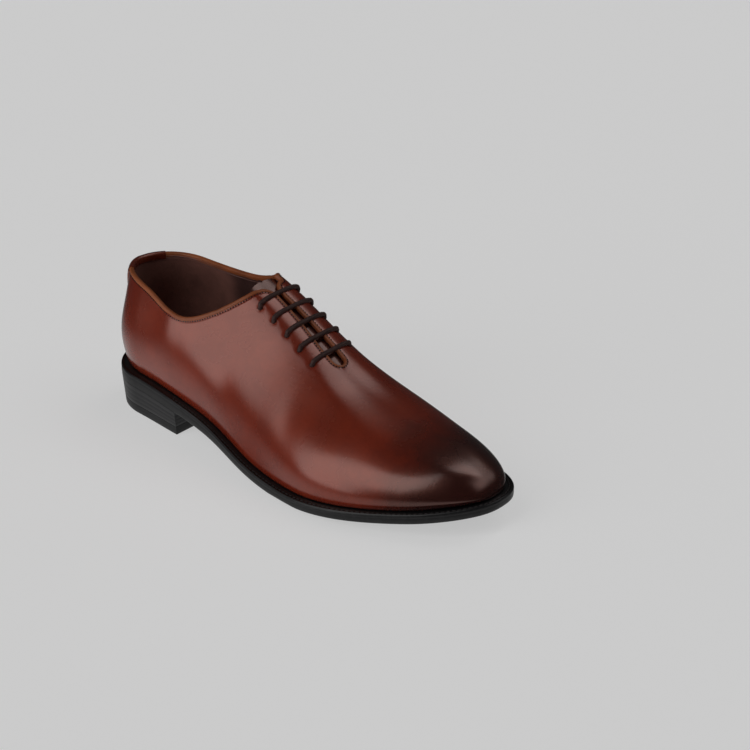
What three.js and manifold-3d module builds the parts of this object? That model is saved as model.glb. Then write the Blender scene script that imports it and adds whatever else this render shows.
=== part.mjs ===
// A right-hand wholecut oxford dress shoe, in millimetres, standing on the plane z = 0.
// +X points to the toe, +Y to the inner (medial) side, -Y to the outer (lateral) side.
// The heel's back end is x = 0 and the line from heel to toe is y = 0 while the pieces are made.
// The finished group is then moved so that its origin is the middle of its footprint.
import * as THREE from 'three';
import { mergeVertices } from 'three/addons/utils/BufferGeometryUtils.js';
import Module from 'manifold-3d';

// Driving dimensions
const SOLE_LENGTH = 305;
const BALL_WIDTH = 108;
const HEEL_HEIGHT = 20.2;
const HEEL_LENGTH = 75;
const TOE_SPRING = 14.7;
const INSTEP_HEIGHT = 77;
const BACK_HEIGHT = 64.3;

// Sole unit
const OUTSOLE_THICKNESS = 5.2;
const WELT_THICKNESS = 2.5;
const INSOLE_THICKNESS = 2.6;
const INSOLE_CLEARANCE = 0.8;
const INSOLE_TOE_CLEARANCE = 7;
const TOP_PIECE_THICKNESS = 6;
const SEAM_GAP = 0.3;
// The upper's lower edge stands this far over the welt, which curves under it
const UPPER_LIFT = 0.45;
const SOLE_CROWN = 1.6;
const SOLE_EDGE_ROUND = 1.2;
const TREAD_INSET = 15;
const WELT_UNDERLAP = 11;
const HEEL_TAPER = 2.2;

// How far the upper stands in from the edge of the sole, at the back, the sides and the toe
const RIM_HEEL = 3.2;
const RIM_SIDE = 5.2;
const RIM_TOE = 5.6;

// Upper, tongue, heel tab and lace
const UPPER_WALL = 2.2;
const THROAT_GAP = 9.4;
const THROAT_TOP_GAP = 3.2;
const THROAT_START = 100;
const FACING_CORNER = 128;
const FACING_RADIUS = 9;
const THROAT_END = 182;
const THROAT_FULL = 168;
const CORNER_ROUND = 0.035;
const EYELET_COUNT = 5;
const EYELET_FIRST = 126.5;
const EYELET_PITCH = 11.2;
const EYELET_INSET = 12.5;
const EYELET_BORE = 3.4;
const TONGUE_THICKNESS = 1.8;
const TONGUE_TIP = 112;
const TONGUE_END = 200;
const TONGUE_HALF_WIDTH = 25;
const TONGUE_TIP_ROUND = 12;
const TONGUE_COLUMNS = 20;
const TONGUE_ROWS = 5;
const LAYER_GAP = 0.4;
const TONGUE_GAP = 1.1;
const TAB_THICKNESS = 1.3;
const TAB_HALF_WIDTH = 16;
const TAB_DROP = 36;
const TAB_FOOT_HALF_WIDTH = 5;
const TAB_COLUMNS = 10;
const TAB_ROWS = 7;
const LACE_DIAMETER = 3;
const LACE_SIDES = 8;
const LACE_STEPS = 12;

// Rounding of the ends of every outline: the length that is rounded, and how square it is
const HEEL_END = { length: 34, inner: 2.15, outer: 2 };
const TOE_END = { length: 40, inner: 2.4, outer: 2.6 };
// The toe of the upper falls to the welt over this length
const TOE_FALL = { length: 48, inner: 2.1, outer: 2.1 };

// Grid counts
const OUTLINE_STEPS = 34;
const UPPER_ROWS = 11;

// Edge of the sole: at = share of the length, both widths = shares of the ball width
const OUTLINE = [
  { at: 0.00, lateral: 0.338, medial: 0.306 },
  { at: 0.12, lateral: 0.353, medial: 0.309 },
  { at: 0.24, lateral: 0.393, medial: 0.290 },
  { at: 0.36, lateral: 0.432, medial: 0.245 },
  { at: 0.48, lateral: 0.513, medial: 0.272 },
  { at: 0.58, lateral: 0.557, medial: 0.356 },
  { at: 0.66, lateral: 0.577, medial: 0.415 },
  { at: 0.74, lateral: 0.549, medial: 0.427 },
  { at: 0.83, lateral: 0.453, medial: 0.378 },
  { at: 0.92, lateral: 0.334, medial: 0.312 },
  { at: 1.00, lateral: 0.232, medial: 0.243 },
];

// Side line of the sole: heel = share of the heel height, toe = share of the toe spring
const SIDE_LINE = [
  { at: 0.00, heel: 1.00, toe: 0.00 },
  { at: 0.12, heel: 0.96, toe: 0.00 },
  { at: 0.24, heel: 0.84, toe: 0.00 },
  { at: 0.36, heel: 0.54, toe: 0.00 },
  { at: 0.48, heel: 0.16, toe: 0.00 },
  { at: 0.60, heel: -0.02, toe: 0.00 },
  { at: 0.72, heel: 0.00, toe: 0.13 },
  { at: 0.86, heel: 0.00, toe: 0.45 },
  { at: 1.00, heel: 0.00, toe: 1.00 },
];

// The last in cross-sections. rise = top of the last over the sole, as a share of the instep height.
// Over the heel it goes on as a cone above the topline. The other columns are shares of the ball
// width from the middle line: ridge = place of the top line, bulge = lower side, shoulder = upper
// side and crown = flat of the top, the last two measured from the ridge.
const LAST = [
  { at: 0.00, rise: 1.320, ridge: 0.010, lateralBulge: 0.335, medialBulge: 0.305,
    lateralShoulder: 0.165, medialShoulder: 0.180, lateralCrown: 0.065, medialCrown: 0.065 },
  { at: 0.10, rise: 1.300, ridge: 0.010, lateralBulge: 0.345, medialBulge: 0.310,
    lateralShoulder: 0.190, medialShoulder: 0.195, lateralCrown: 0.075, medialCrown: 0.075 },
  { at: 0.24, rise: 1.258, ridge: 0.000, lateralBulge: 0.370, medialBulge: 0.300,
    lateralShoulder: 0.240, medialShoulder: 0.230, lateralCrown: 0.100, medialCrown: 0.100 },
  { at: 0.38, rise: 1.150, ridge: 0.026, lateralBulge: 0.400, medialBulge: 0.300,
    lateralShoulder: 0.260, medialShoulder: 0.235, lateralCrown: 0.130, medialCrown: 0.150 },
  { at: 0.50, rise: 0.990, ridge: 0.021, lateralBulge: 0.455, medialBulge: 0.325,
    lateralShoulder: 0.300, medialShoulder: 0.250, lateralCrown: 0.120, medialCrown: 0.150 },
  { at: 0.60, rise: 0.810, ridge: -0.010, lateralBulge: 0.515, medialBulge: 0.365,
    lateralShoulder: 0.326, medialShoulder: 0.308, lateralCrown: 0.105, medialCrown: 0.158 },
  { at: 0.70, rise: 0.606, ridge: 0.002, lateralBulge: 0.530, medialBulge: 0.400,
    lateralShoulder: 0.370, medialShoulder: 0.326, lateralCrown: 0.150, medialCrown: 0.145 },
  { at: 0.80, rise: 0.444, ridge: 0.012, lateralBulge: 0.450, medialBulge: 0.370,
    lateralShoulder: 0.330, medialShoulder: 0.286, lateralCrown: 0.155, medialCrown: 0.138 },
  { at: 0.90, rise: 0.345, ridge: 0.010, lateralBulge: 0.330, medialBulge: 0.300,
    lateralShoulder: 0.245, medialShoulder: 0.212, lateralCrown: 0.130, medialCrown: 0.108 },
  { at: 1.00, rise: 0.280, ridge: 0.006, lateralBulge: 0.235, medialBulge: 0.225,
    lateralShoulder: 0.175, medialShoulder: 0.150, lateralCrown: 0.095, medialCrown: 0.080 },
];
// Heights of the five control points of half a section, as shares of the section's height
const CONTROL_HEIGHT = [0, 0.15, 0.42, 0.78, 1];

// Line of the heel's back seen from the side: height above the sole's heel seat and how far it
// stands forward (+) or back (-), as shares of the back height
const BACK_LINE = [
  { height: 0.00, lean: -0.010 },
  { height: 0.37, lean: -0.036 },
  { height: 0.71, lean: 0.035 },
  { height: 1.08, lean: 0.050 },
  { height: 1.64, lean: 0.034 },
];
const BACK_LINE_REACH = 95;

// Topline: height over the sole's heel seat, as a share of the back height
const TOPLINE = [
  { at: 0.000, lateral: 1.000, medial: 1.000 },
  { at: 0.070, lateral: 0.990, medial: 0.985 },
  { at: 0.150, lateral: 0.925, medial: 0.975 },
  { at: 0.245, lateral: 0.822, medial: 0.985 },
  { at: 0.330, lateral: 0.970, medial: 1.070 },
  { at: 0.390, lateral: 1.180, medial: 1.270 },
  { at: 0.430, lateral: 1.370, medial: 1.450 },
];

// Natural cubic spline through rows of (x, y)
function spline(xs, ys) {
  const n = xs.length;
  const span = xs.slice(1).map((x, i) => x - xs[i]);
  const bend = new Array(n).fill(0);
  const upper = new Array(n).fill(0);
  for (let i = 1; i < n - 1; i++) {
    const slopes = (ys[i + 1] - ys[i]) / span[i] - (ys[i] - ys[i - 1]) / span[i - 1];
    const pivot = 2 * (span[i - 1] + span[i]) - span[i - 1] * upper[i - 1];
    upper[i] = span[i] / pivot;
    bend[i] = (6 * slopes - span[i - 1] * bend[i - 1]) / pivot;
  }
  for (let i = n - 2; i > 0; i--) bend[i] -= upper[i] * bend[i + 1];
  return (x) => {
    let i = 0;
    while (i < n - 2 && x > xs[i + 1]) i++;
    const h = span[i];
    const t = x - xs[i];
    const first = (ys[i + 1] - ys[i]) / h - (h * (2 * bend[i] + bend[i + 1])) / 6;
    return ys[i] + first * t + (bend[i] * t * t) / 2 + ((bend[i + 1] - bend[i]) * t ** 3) / (6 * h);
  };
}

// One column of a table as a curve, its rows placed at shares of a length
function curve(rows, key, length, size, place = 'at') {
  return spline(rows.map((row) => row[place] * length), rows.map((row) => row[key] * size));
}

const edge = {
  lateral: curve(OUTLINE, 'lateral', SOLE_LENGTH, BALL_WIDTH),
  medial: curve(OUTLINE, 'medial', SOLE_LENGTH, BALL_WIDTH),
};
const heelRise = curve(SIDE_LINE, 'heel', SOLE_LENGTH, HEEL_HEIGHT);
const toeRise = curve(SIDE_LINE, 'toe', SOLE_LENGTH, TOE_SPRING);
const lastRise = curve(LAST, 'rise', SOLE_LENGTH, INSTEP_HEIGHT);
const lastColumn = {};
for (const key of ['ridge', 'lateralBulge', 'medialBulge', 'lateralShoulder', 'medialShoulder',
  'lateralCrown', 'medialCrown']) {
  lastColumn[key] = curve(LAST, key, SOLE_LENGTH, BALL_WIDTH);
}
const backLean = curve(BACK_LINE, 'lean', BACK_HEIGHT, BACK_HEIGHT, 'height');

// Height of the welt's top, where the upper stands
function seat(x) {
  return OUTSOLE_THICKNESS + SEAM_GAP + WELT_THICKNESS + heelRise(x) + toeRise(x);
}

// Roundness of both ends: 0 at the very end, 1 away from it
function rounded(distance, end) {
  const t = Math.min(Math.max(1 - distance / end.length, 0), 1);
  return (1 - t ** end.inner) ** (1 / end.outer);
}

// A place on the edge of the sole, drawn in by an inset for each of heel, side and toe.
// share runs from 0 at the heel to 1 at the toe and side is 'lateral' or 'medial'.
function outlinePoint(share, side, inset) {
  const x = inset.heel + (SOLE_LENGTH - inset.heel - inset.toe) * share;
  const middle = (edge.medial(x) - edge.lateral(x)) / 2;
  const half = (edge.medial(x) + edge.lateral(x)) / 2 - inset.side;
  const end = rounded(x - inset.heel, HEEL_END) * rounded(SOLE_LENGTH - inset.toe - x, TOE_END);
  return { x, middle, y: middle + (side === 'medial' ? 1 : -1) * half * end, end };
}

function evenInset(distance) {
  return { heel: distance, side: distance, toe: distance };
}

function rimInset(extra) {
  return { heel: RIM_HEEL + extra, side: RIM_SIDE + extra, toe: RIM_TOE + extra };
}

// Shares that crowd towards both ends, where the outline turns
function endwiseShare(i, steps) {
  return (1 - Math.cos((Math.PI * i) / steps)) / 2;
}

// A closed ring round the sole: out along the lateral side and back along the medial side
function ring(inset, height, steps = OUTLINE_STEPS) {
  const points = [];
  for (let i = 0; i < 2 * steps; i++) {
    const forward = i <= steps;
    const share = endwiseShare(forward ? i : 2 * steps - i, steps);
    const place = outlinePoint(share, forward ? 'lateral' : 'medial', inset);
    points.push(new THREE.Vector3(place.x, place.y, height(place.x, place.y)));
  }
  return points;
}

// A mesh geometry from triangles of points, with shared corners merged and empty triangles left out
function geometryFrom(triangles) {
  const positions = [];
  const key = (p) => `${p.x.toFixed(4)},${p.y.toFixed(4)},${p.z.toFixed(4)}`;
  for (const [a, b, c] of triangles) {
    const keys = new Set([key(a), key(b), key(c)]);
    if (keys.size < 3) continue;
    for (const p of [a, b, c]) positions.push(p.x, p.y, p.z);
  }
  const geometry = new THREE.BufferGeometry();
  geometry.setAttribute('position', new THREE.Float32BufferAttribute(positions, 3));
  const merged = mergeVertices(geometry, 1e-3);
  merged.computeVertexNormals();
  return merged;
}

function addQuad(triangles, a, b, c, d) {
  triangles.push([a, b, c], [a, c, d]);
}

// Walls between rings that follow each other, from the lowest outside ring round to the last
function wallsBetween(rings, triangles, closeLoop) {
  const last = closeLoop ? rings.length : rings.length - 1;
  for (let k = 0; k < last; k++) {
    const low = rings[k];
    const high = rings[(k + 1) % rings.length];
    for (let i = 0; i < low.length; i++) {
      const j = (i + 1) % low.length;
      addQuad(triangles, low[i], low[j], high[j], high[i]);
    }
  }
}

// A lid over a ring, from side to side
function lid(points, triangles, up) {
  const n = points.length;
  for (let i = 0; i < n / 2; i++) {
    const a = points[i];
    const b = points[i + 1];
    const c = points[(n - i - 1) % n];
    const d = points[(n - i) % n];
    if (up) addQuad(triangles, a, b, c, d);
    else addQuad(triangles, d, c, b, a);
  }
}

// A plate made of rings from bottom to top, closed by a lid at each end
function plate(rings) {
  const triangles = [];
  wallsBetween(rings, triangles, false);
  lid(rings[0], triangles, false);
  lid(rings[rings.length - 1], triangles, true);
  return geometryFrom(triangles);
}

// Sole unit
function treadHeight(x) {
  return Math.max(0, seat(x) - WELT_THICKNESS - SEAM_GAP - OUTSOLE_THICKNESS);
}

// The tread is crowned: its edge stands higher than its middle, in front of the heel
function crown(x) {
  const t = Math.min(Math.max((x - HEEL_LENGTH) / HEEL_LENGTH, 0), 1);
  return SOLE_CROWN * t * t * (3 - 2 * t);
}

function outsoleGeometry() {
  const top = (x) => seat(x) - WELT_THICKNESS - SEAM_GAP;
  return plate([
    ring(evenInset(TREAD_INSET), (x) => treadHeight(x)),
    ring(evenInset(SOLE_EDGE_ROUND), (x) => treadHeight(x) + crown(x) * 0.8),
    ring(evenInset(0), (x) => treadHeight(x) + crown(x) + SOLE_EDGE_ROUND * 0.6),
    ring(evenInset(0), top),
  ]);
}

function weltGeometry() {
  const inner = rimInset(UPPER_WALL + WELT_UNDERLAP);
  const bottom = (x) => seat(x) - WELT_THICKNESS;
  const triangles = [];
  wallsBetween([
    ring(evenInset(0), bottom),
    ring(evenInset(0), (x) => seat(x) - SEAM_GAP),
    ring(evenInset(SEAM_GAP), seat),
    ring(inner, seat),
    ring(inner, bottom),
  ], triangles, true);
  return geometryFrom(triangles);
}

function insoleGeometry() {
  const inset = rimInset(UPPER_WALL + INSOLE_CLEARANCE);
  inset.toe += INSOLE_TOE_CLEARANCE;
  const low = (x) => seat(x) + SEAM_GAP;
  const high = (x) => low(x) + INSOLE_THICKNESS;
  return plate([ring(inset, low), ring(inset, high)]);
}

// Outline of the heel at a height share: 0 at the floor, where it is drawn in, 1 under the sole
function heelRing(share, height) {
  const drawnIn = HEEL_TAPER * (1 - share);
  const steps = OUTLINE_STEPS / 2;
  const points = [];
  for (let i = 0; i < 2 * steps + 2; i++) {
    const forward = i <= steps;
    const step = forward ? i : 2 * steps + 1 - i;
    const x = drawnIn + (HEEL_LENGTH - drawnIn) * (1 - Math.cos((Math.PI * step) / (2 * steps)));
    const middle = (edge.medial(x) - edge.lateral(x)) / 2;
    const half = (edge.medial(x) + edge.lateral(x)) / 2 - drawnIn;
    const y = middle + (forward ? -1 : 1) * half * rounded(x - drawnIn, HEEL_END);
    points.push(new THREE.Vector3(x, y, height(x)));
  }
  return points;
}

function heelLid(points, triangles, up) {
  const n = points.length;
  for (let i = 0; i < n / 2 - 1; i++) {
    const corners = [points[i], points[i + 1], points[n - i - 2], points[n - i - 1]];
    if (up) addQuad(triangles, ...corners);
    else addQuad(triangles, ...corners.reverse());
  }
}

function heelPiece(lowShare, low, highShare, high) {
  const rings = [heelRing(lowShare, low), heelRing(highShare, high)];
  const triangles = [];
  wallsBetween(rings, triangles, false);
  heelLid(rings[0], triangles, false);
  heelLid(rings[1], triangles, true);
  return geometryFrom(triangles);
}

function topPieceGeometry() {
  const share = TOP_PIECE_THICKNESS / HEEL_HEIGHT;
  return heelPiece(0, () => 0, share, () => TOP_PIECE_THICKNESS);
}

function heelStackGeometry() {
  const share = (TOP_PIECE_THICKNESS + SEAM_GAP) / HEEL_HEIGHT;
  const low = () => TOP_PIECE_THICKNESS + SEAM_GAP;
  return heelPiece(share, low, 1, (x) => treadHeight(x) - SEAM_GAP);
}

// Upper: a clamped cubic B-spline of eleven control points for each cross-section
const CONTROL_COUNT = 11;
function splineWeights(u) {
  const degree = 3;
  const inner = CONTROL_COUNT - degree;
  const knots = [];
  for (let i = 0; i < CONTROL_COUNT + degree + 1; i++) {
    knots.push(Math.min(Math.max((i - degree) / inner, 0), 1));
  }
  const at = Math.min(Math.max(u, 0), 1 - 1e-9);
  let weights = knots.slice(1).map((k, i) => (at >= knots[i] && at < k ? 1 : 0));
  for (let p = 1; p <= degree; p++) {
    weights = weights.slice(1).map((_, i) => {
      const left = knots[i + p] - knots[i];
      const right = knots[i + p + 1] - knots[i + 1];
      const a = left > 0 ? ((at - knots[i]) / left) * weights[i] : 0;
      const b = right > 0 ? ((knots[i + p + 1] - at) / right) * weights[i + 1] : 0;
      return a + b;
    });
  }
  return weights;
}

// A point on the last. share runs along the shoe, up runs from 0 at the welt to 1 at the ridge,
// and inset is how far inside the upper's outer face the point lies.
function lastPoint(share, up, side, inset) {
  const rim = rimInset(inset);
  const place = outlinePoint(share, side, rim);
  const x = place.x;
  const base = seat(x) + UPPER_LIFT;
  const fall = rounded(SOLE_LENGTH - rim.toe - x, TOE_FALL);
  const height = (lastRise(x) - inset) * fall;
  const seam = place.middle * (1 - place.end);
  const centre = seam + lastColumn.ridge(x) * place.end;
  const across = (sign, name) => {
    const bulge = seam + sign * (lastColumn[`${name}Bulge`](x) - inset) * place.end;
    const shoulder = centre + sign * (lastColumn[`${name}Shoulder`](x) - inset) * place.end;
    const top = centre + sign * (lastColumn[`${name}Crown`](x) - inset / 2) * place.end;
    return [outlinePoint(share, name, rim).y, bulge, bulge, shoulder, top];
  };
  const ys = [...across(-1, 'lateral'), centre, ...across(1, 'medial').reverse()];
  const zs = [...CONTROL_HEIGHT, 1, ...[...CONTROL_HEIGHT].reverse()];
  const weights = splineWeights(side === 'lateral' ? up / 2 : 1 - up / 2);
  let y = 0;
  let z = 0;
  weights.forEach((w, k) => {
    y += w * ys[k];
    z += w * (base + height * zs[k]);
  });
  const reach = Math.max(1 - x / BACK_LINE_REACH, 0);
  return new THREE.Vector3(x + backLean(z - seat(0)) * reach * reach, y, z);
}

// The place up a section where a measure that grows with it reaches a value
function findUp(measure, value) {
  let low = 0;
  let high = 1;
  for (let i = 0; i < 24; i++) {
    const middle = (low + high) / 2;
    if (measure(middle) < value) low = middle;
    else high = middle;
  }
  return (low + high) / 2;
}

const topline = {
  lateral: curve(TOPLINE, 'lateral', SOLE_LENGTH, BACK_HEIGHT),
  medial: curve(TOPLINE, 'medial', SOLE_LENGTH, BACK_HEIGHT),
};

const TOPLINE_REACH = SOLE_LENGTH * TOPLINE[TOPLINE.length - 1].at;

function shareOf(x, inset = 0) {
  const rim = rimInset(inset);
  return (x - rim.heel) / (SOLE_LENGTH - rim.heel - rim.toe);
}

// Half the throat's width at x: flared round the facing corners, laced nearly shut at the top,
// full further down and closing in a half round at its end
function throatHalf(x) {
  const down = (x - FACING_CORNER) / (THROAT_FULL - FACING_CORNER);
  const opened = Math.min(Math.max(down, 0), 1);
  const half = (THROAT_TOP_GAP + (THROAT_GAP - THROAT_TOP_GAP) * opened) / 2;
  const over = Math.max(x - (THROAT_END - half), 0);
  const back = Math.min(Math.max(FACING_CORNER - x, 0), FACING_RADIUS);
  const flare = FACING_RADIUS - Math.sqrt(FACING_RADIUS ** 2 - back ** 2);
  return (over >= half ? 0 : Math.sqrt(half * half - over * over)) + flare;
}

// The upper's edge on one side: the topline, the rounded facing corner and the throat
function openingUp(share, side) {
  const point = (up) => lastPoint(share, up, side, 0);
  const x = point(1).x;
  if (x > THROAT_END - 1e-6) return 1;
  const rail = topline[share > 0 ? side : 'lateral'](Math.min(x, TOPLINE_REACH));
  const collar = findUp((up) => point(up).z, seat(0) + rail);
  if (x < THROAT_START) return collar;
  const centre = point(1).y;
  const throat = 1 - findUp((down) => Math.abs(point(1 - down).y - centre), throatHalf(x));
  const difference = collar - throat;
  const softening = CORNER_ROUND * Math.min((THROAT_END - x) / (THROAT_END - THROAT_START), 1);
  return (collar + throat - Math.hypot(difference, 2 * softening)) / 2 + softening * softening;
}

// Columns along the shoe, close together at the heel's back, the facing corner and the throat's end
function upperShares() {
  const start = shareOf(THROAT_START);
  const corner = shareOf(FACING_CORNER);
  const end = shareOf(THROAT_END);
  const stretches = [
    { from: 0, to: start, columns: 15, crowd: (t) => t ** 1.6 },
    { from: start, to: corner, columns: 18, crowd: (t) => t ** 0.8 },
    { from: corner, to: end, columns: 13, crowd: (t) => Math.sin((Math.PI / 2) * t) },
    { from: end, to: 1, columns: 18, crowd: (t) => Math.sin((Math.PI / 2) * t) },
  ];
  const shares = [0];
  for (const { from, to, columns, crowd } of stretches) {
    for (let i = 1; i < columns; i++) shares.push(from + (to - from) * crowd(i / columns));
    shares.push(to);
  }
  return shares;
}

// A skin between two insets over a patch of the last. top(share, side) and foot(share, side) give
// the patch's upper and lower edges.
function lastSkin(shares, rows, outer, inner, foot, top) {
  const triangles = [];
  for (const side of ['lateral', 'medial']) {
    const grid = [outer, inner].map((inset) => shares.map((share) => {
      const low = foot(share, side);
      const high = top(share, side);
      return Array.from({ length: rows + 1 }, (_, j) =>
        lastPoint(share, low + ((high - low) * j) / rows, side, inset));
    }));
    const put = (a, b, c, d) => {
      if (side === 'lateral') addQuad(triangles, a, b, c, d);
      else addQuad(triangles, d, c, b, a);
    };
    const [out, inn] = grid;
    const lastColumnIndex = shares.length - 1;
    for (let i = 0; i < lastColumnIndex; i++) {
      for (let j = 0; j < rows; j++) {
        put(out[i][j], out[i + 1][j], out[i + 1][j + 1], out[i][j + 1]);
        put(inn[i][j + 1], inn[i + 1][j + 1], inn[i + 1][j], inn[i][j]);
      }
      put(inn[i][0], inn[i + 1][0], out[i + 1][0], out[i][0]);
      const joined = top(shares[i], side) >= 1 && top(shares[i + 1], side) >= 1;
      if (!joined) put(out[i][rows], out[i + 1][rows], inn[i + 1][rows], inn[i][rows]);
    }
    for (const [i, atToe] of [[0, false], [lastColumnIndex, true]]) {
      const onSeam = shares[i] === 0 || shares[i] === 1;
      if (onSeam) continue;
      for (let j = 0; j < rows; j++) {
        const corners = [out[i][j], out[i][j + 1], inn[i][j + 1], inn[i][j]];
        if (atToe) corners.reverse();
        put(...corners);
      }
    }
  }
  return geometryFrom(triangles);
}

const wasm = await Module();
wasm.setup();

function toSolid(geometry) {
  const bare = geometry.clone();
  bare.deleteAttribute('normal');
  bare.deleteAttribute('uv');
  const merged = mergeVertices(bare, 1e-4);
  return new wasm.Manifold(new wasm.Mesh({
    numProp: 3,
    vertProperties: Float32Array.from(merged.attributes.position.array),
    triVerts: Uint32Array.from(merged.index.array),
  }));
}

function toGeometry(solid) {
  const mesh = solid.getMesh();
  const geometry = new THREE.BufferGeometry();
  const points = new THREE.Float32BufferAttribute(mesh.vertProperties, mesh.numProp);
  geometry.setAttribute('position', points);
  geometry.setIndex(Array.from(mesh.triVerts));
  geometry.computeVertexNormals();
  return geometry;
}

// Place of an eyelet on the upper's outer face, with the direction out of the leather
function eyelet(index, side) {
  const share = shareOf(EYELET_FIRST + index * EYELET_PITCH);
  const up = upAtDistance(share, side, THROAT_GAP / 2 + EYELET_INSET);
  const point = lastPoint(share, up, side, 0);
  const along = lastPoint(share + 0.005, up, side, 0).sub(lastPoint(share - 0.005, up, side, 0));
  const over = lastPoint(share, up + 0.01, side, 0).sub(lastPoint(share, up - 0.01, side, 0));
  const normal = new THREE.Vector3().crossVectors(along, over).normalize();
  if (normal.z < 0) normal.negate();
  return { share, up, point, normal };
}

function upperGeometry() {
  const whole = lastSkin(upperShares(), UPPER_ROWS, 0, UPPER_WALL, () => 0, openingUp);
  let solid = toSolid(whole);
  for (const side of ['lateral', 'medial']) {
    for (let i = 0; i < EYELET_COUNT; i++) {
      const { point, normal } = eyelet(i, side);
      const depth = 3 * UPPER_WALL;
      const punch = new THREE.CylinderGeometry(EYELET_BORE / 2, EYELET_BORE / 2, depth, 10);
      punch.applyQuaternion(new THREE.Quaternion().setFromUnitVectors(
        new THREE.Vector3(0, 1, 0), normal));
      punch.translate(point.x, point.y, point.z);
      solid = solid.subtract(toSolid(punch));
    }
  }
  return toGeometry(solid);
}

// Sideways distance from the ridge, on the upper's outer face, as a place up the section
function upAtDistance(share, side, distance, inset = 0) {
  const centre = lastPoint(share, 1, side, inset).y;
  const away = (down) => Math.abs(lastPoint(share, 1 - down, side, inset).y - centre);
  return 1 - findUp(away, distance);
}

// Tongue: a strip of the last under the facings, round at its tip
function tongueGeometry() {
  const outer = UPPER_WALL + TONGUE_GAP;
  const shares = [];
  for (let i = 0; i <= TONGUE_COLUMNS; i++) {
    const t = (i / TONGUE_COLUMNS) ** 1.5;
    shares.push(shareOf(TONGUE_TIP + (TONGUE_END - TONGUE_TIP) * t, outer));
  }
  const foot = (share, side) => {
    const x = lastPoint(share, 1, side, outer).x;
    const t = Math.min(Math.max((x - TONGUE_TIP) / TONGUE_TIP_ROUND, 0), 1);
    const half = TONGUE_HALF_WIDTH * Math.sqrt(1 - (1 - t) ** 2.4);
    return upAtDistance(share, side, half, outer);
  };
  return lastSkin(shares, TONGUE_ROWS, outer, outer + TONGUE_THICKNESS, foot, () => 1);
}

// Heel tab: wide at the topline and narrow at its foot, over the back seam
function heelTabGeometry() {
  const outer = -SEAM_GAP - TAB_THICKNESS;
  const reach = (share) => {
    const point = lastPoint(share, openingUp(share, 'lateral'), 'lateral', 0);
    return Math.abs(point.y - lastPoint(0, 1, 'lateral', 0).y);
  };
  const widest = findUp((share) => reach(share * 0.2), TAB_HALF_WIDTH) * 0.2;
  const shares = [];
  for (let i = 0; i <= TAB_COLUMNS; i++) shares.push(widest * (i / TAB_COLUMNS) ** 1.8);
  const foot = (share, side) => {
    const top = openingUp(share, side);
    const from = lastPoint(share, top, side, 0).z;
    const taper = (TAB_HALF_WIDTH - reach(share)) / (TAB_HALF_WIDTH - TAB_FOOT_HALF_WIDTH);
    const drop = TAB_DROP * Math.min(Math.max(taper, 0), 1) ** 1.4;
    return findUp((up) => lastPoint(share, up, side, 0).z, from - drop);
  };
  return lastSkin(shares, TAB_ROWS, outer, -SEAM_GAP, foot, openingUp);
}

// One straight bar of lace, over both facings from eyelet to eyelet
function laceBarGeometry(index) {
  const lift = -(LACE_DIAMETER / 2 + LAYER_GAP);
  const points = [];
  const half = LACE_STEPS / 2;
  for (let i = -half; i <= half; i++) {
    const side = i < 0 ? 'lateral' : 'medial';
    const { share, up } = eyelet(index, side);
    points.push(lastPoint(share, 1 - (1 - up) * Math.abs(i / half), side, lift));
  }
  const outline = new THREE.Shape();
  outline.absarc(0, 0, LACE_DIAMETER / 2, 0, 2 * Math.PI, false);
  return new THREE.ExtrudeGeometry(outline, {
    steps: LACE_STEPS,
    curveSegments: LACE_SIDES / 2,
    bevelEnabled: false,
    extrudePath: new THREE.CatmullRomCurve3(points),
  });
}

const group = new THREE.Group();
const materials = {
  leather: new THREE.MeshStandardMaterial({ color: 0x7a3a22, roughness: 0.35, metalness: 0 }),
  lining: new THREE.MeshStandardMaterial({ color: 0x33211a, roughness: 0.7, metalness: 0 }),
  sole: new THREE.MeshStandardMaterial({ color: 0x17171a, roughness: 0.5, metalness: 0 }),
  rubber: new THREE.MeshStandardMaterial({ color: 0x121214, roughness: 0.8, metalness: 0 }),
  lace: new THREE.MeshStandardMaterial({ color: 0x3a2019, roughness: 0.7, metalness: 0 }),
};

function addPart(name, geometry, material) {
  const mesh = new THREE.Mesh(geometry, material);
  mesh.name = name;
  group.add(mesh);
}

addPart('outsole', outsoleGeometry(), materials.sole);
addPart('welt', weltGeometry(), materials.sole);
addPart('heel_stack', heelStackGeometry(), materials.sole);
addPart('heel_top_piece', topPieceGeometry(), materials.rubber);
addPart('insole', insoleGeometry(), materials.lining);
addPart('upper', upperGeometry(), materials.leather);
addPart('tongue', tongueGeometry(), materials.leather);
addPart('heel_tab', heelTabGeometry(), materials.leather);
for (let i = 0; i < EYELET_COUNT; i++) {
  addPart(`lace_bar_${i + 1}`, laceBarGeometry(i), materials.lace);
}

const footprint = new THREE.Box3().setFromObject(group);
group.position.set(
  -(footprint.min.x + footprint.max.x) / 2,
  -(footprint.min.y + footprint.max.y) / 2,
  -footprint.min.z,
);

export default group;
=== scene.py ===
# %% [markdown]
# # A wholecut oxford shoe
# The whole upper of this dress shoe is cut from one piece of calf leather, pulled over a last and
# sewn to a welt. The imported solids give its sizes. This file dresses them: smooth leather, lining,
# lace, stitches and sole edge, in the same place and at the same size.

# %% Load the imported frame
import math
import bpy
import bmesh
import numpy as np
from mathutils import Matrix, Vector
from mathutils.bvhtree import BVHTree
from mathutils.kdtree import KDTree


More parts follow.
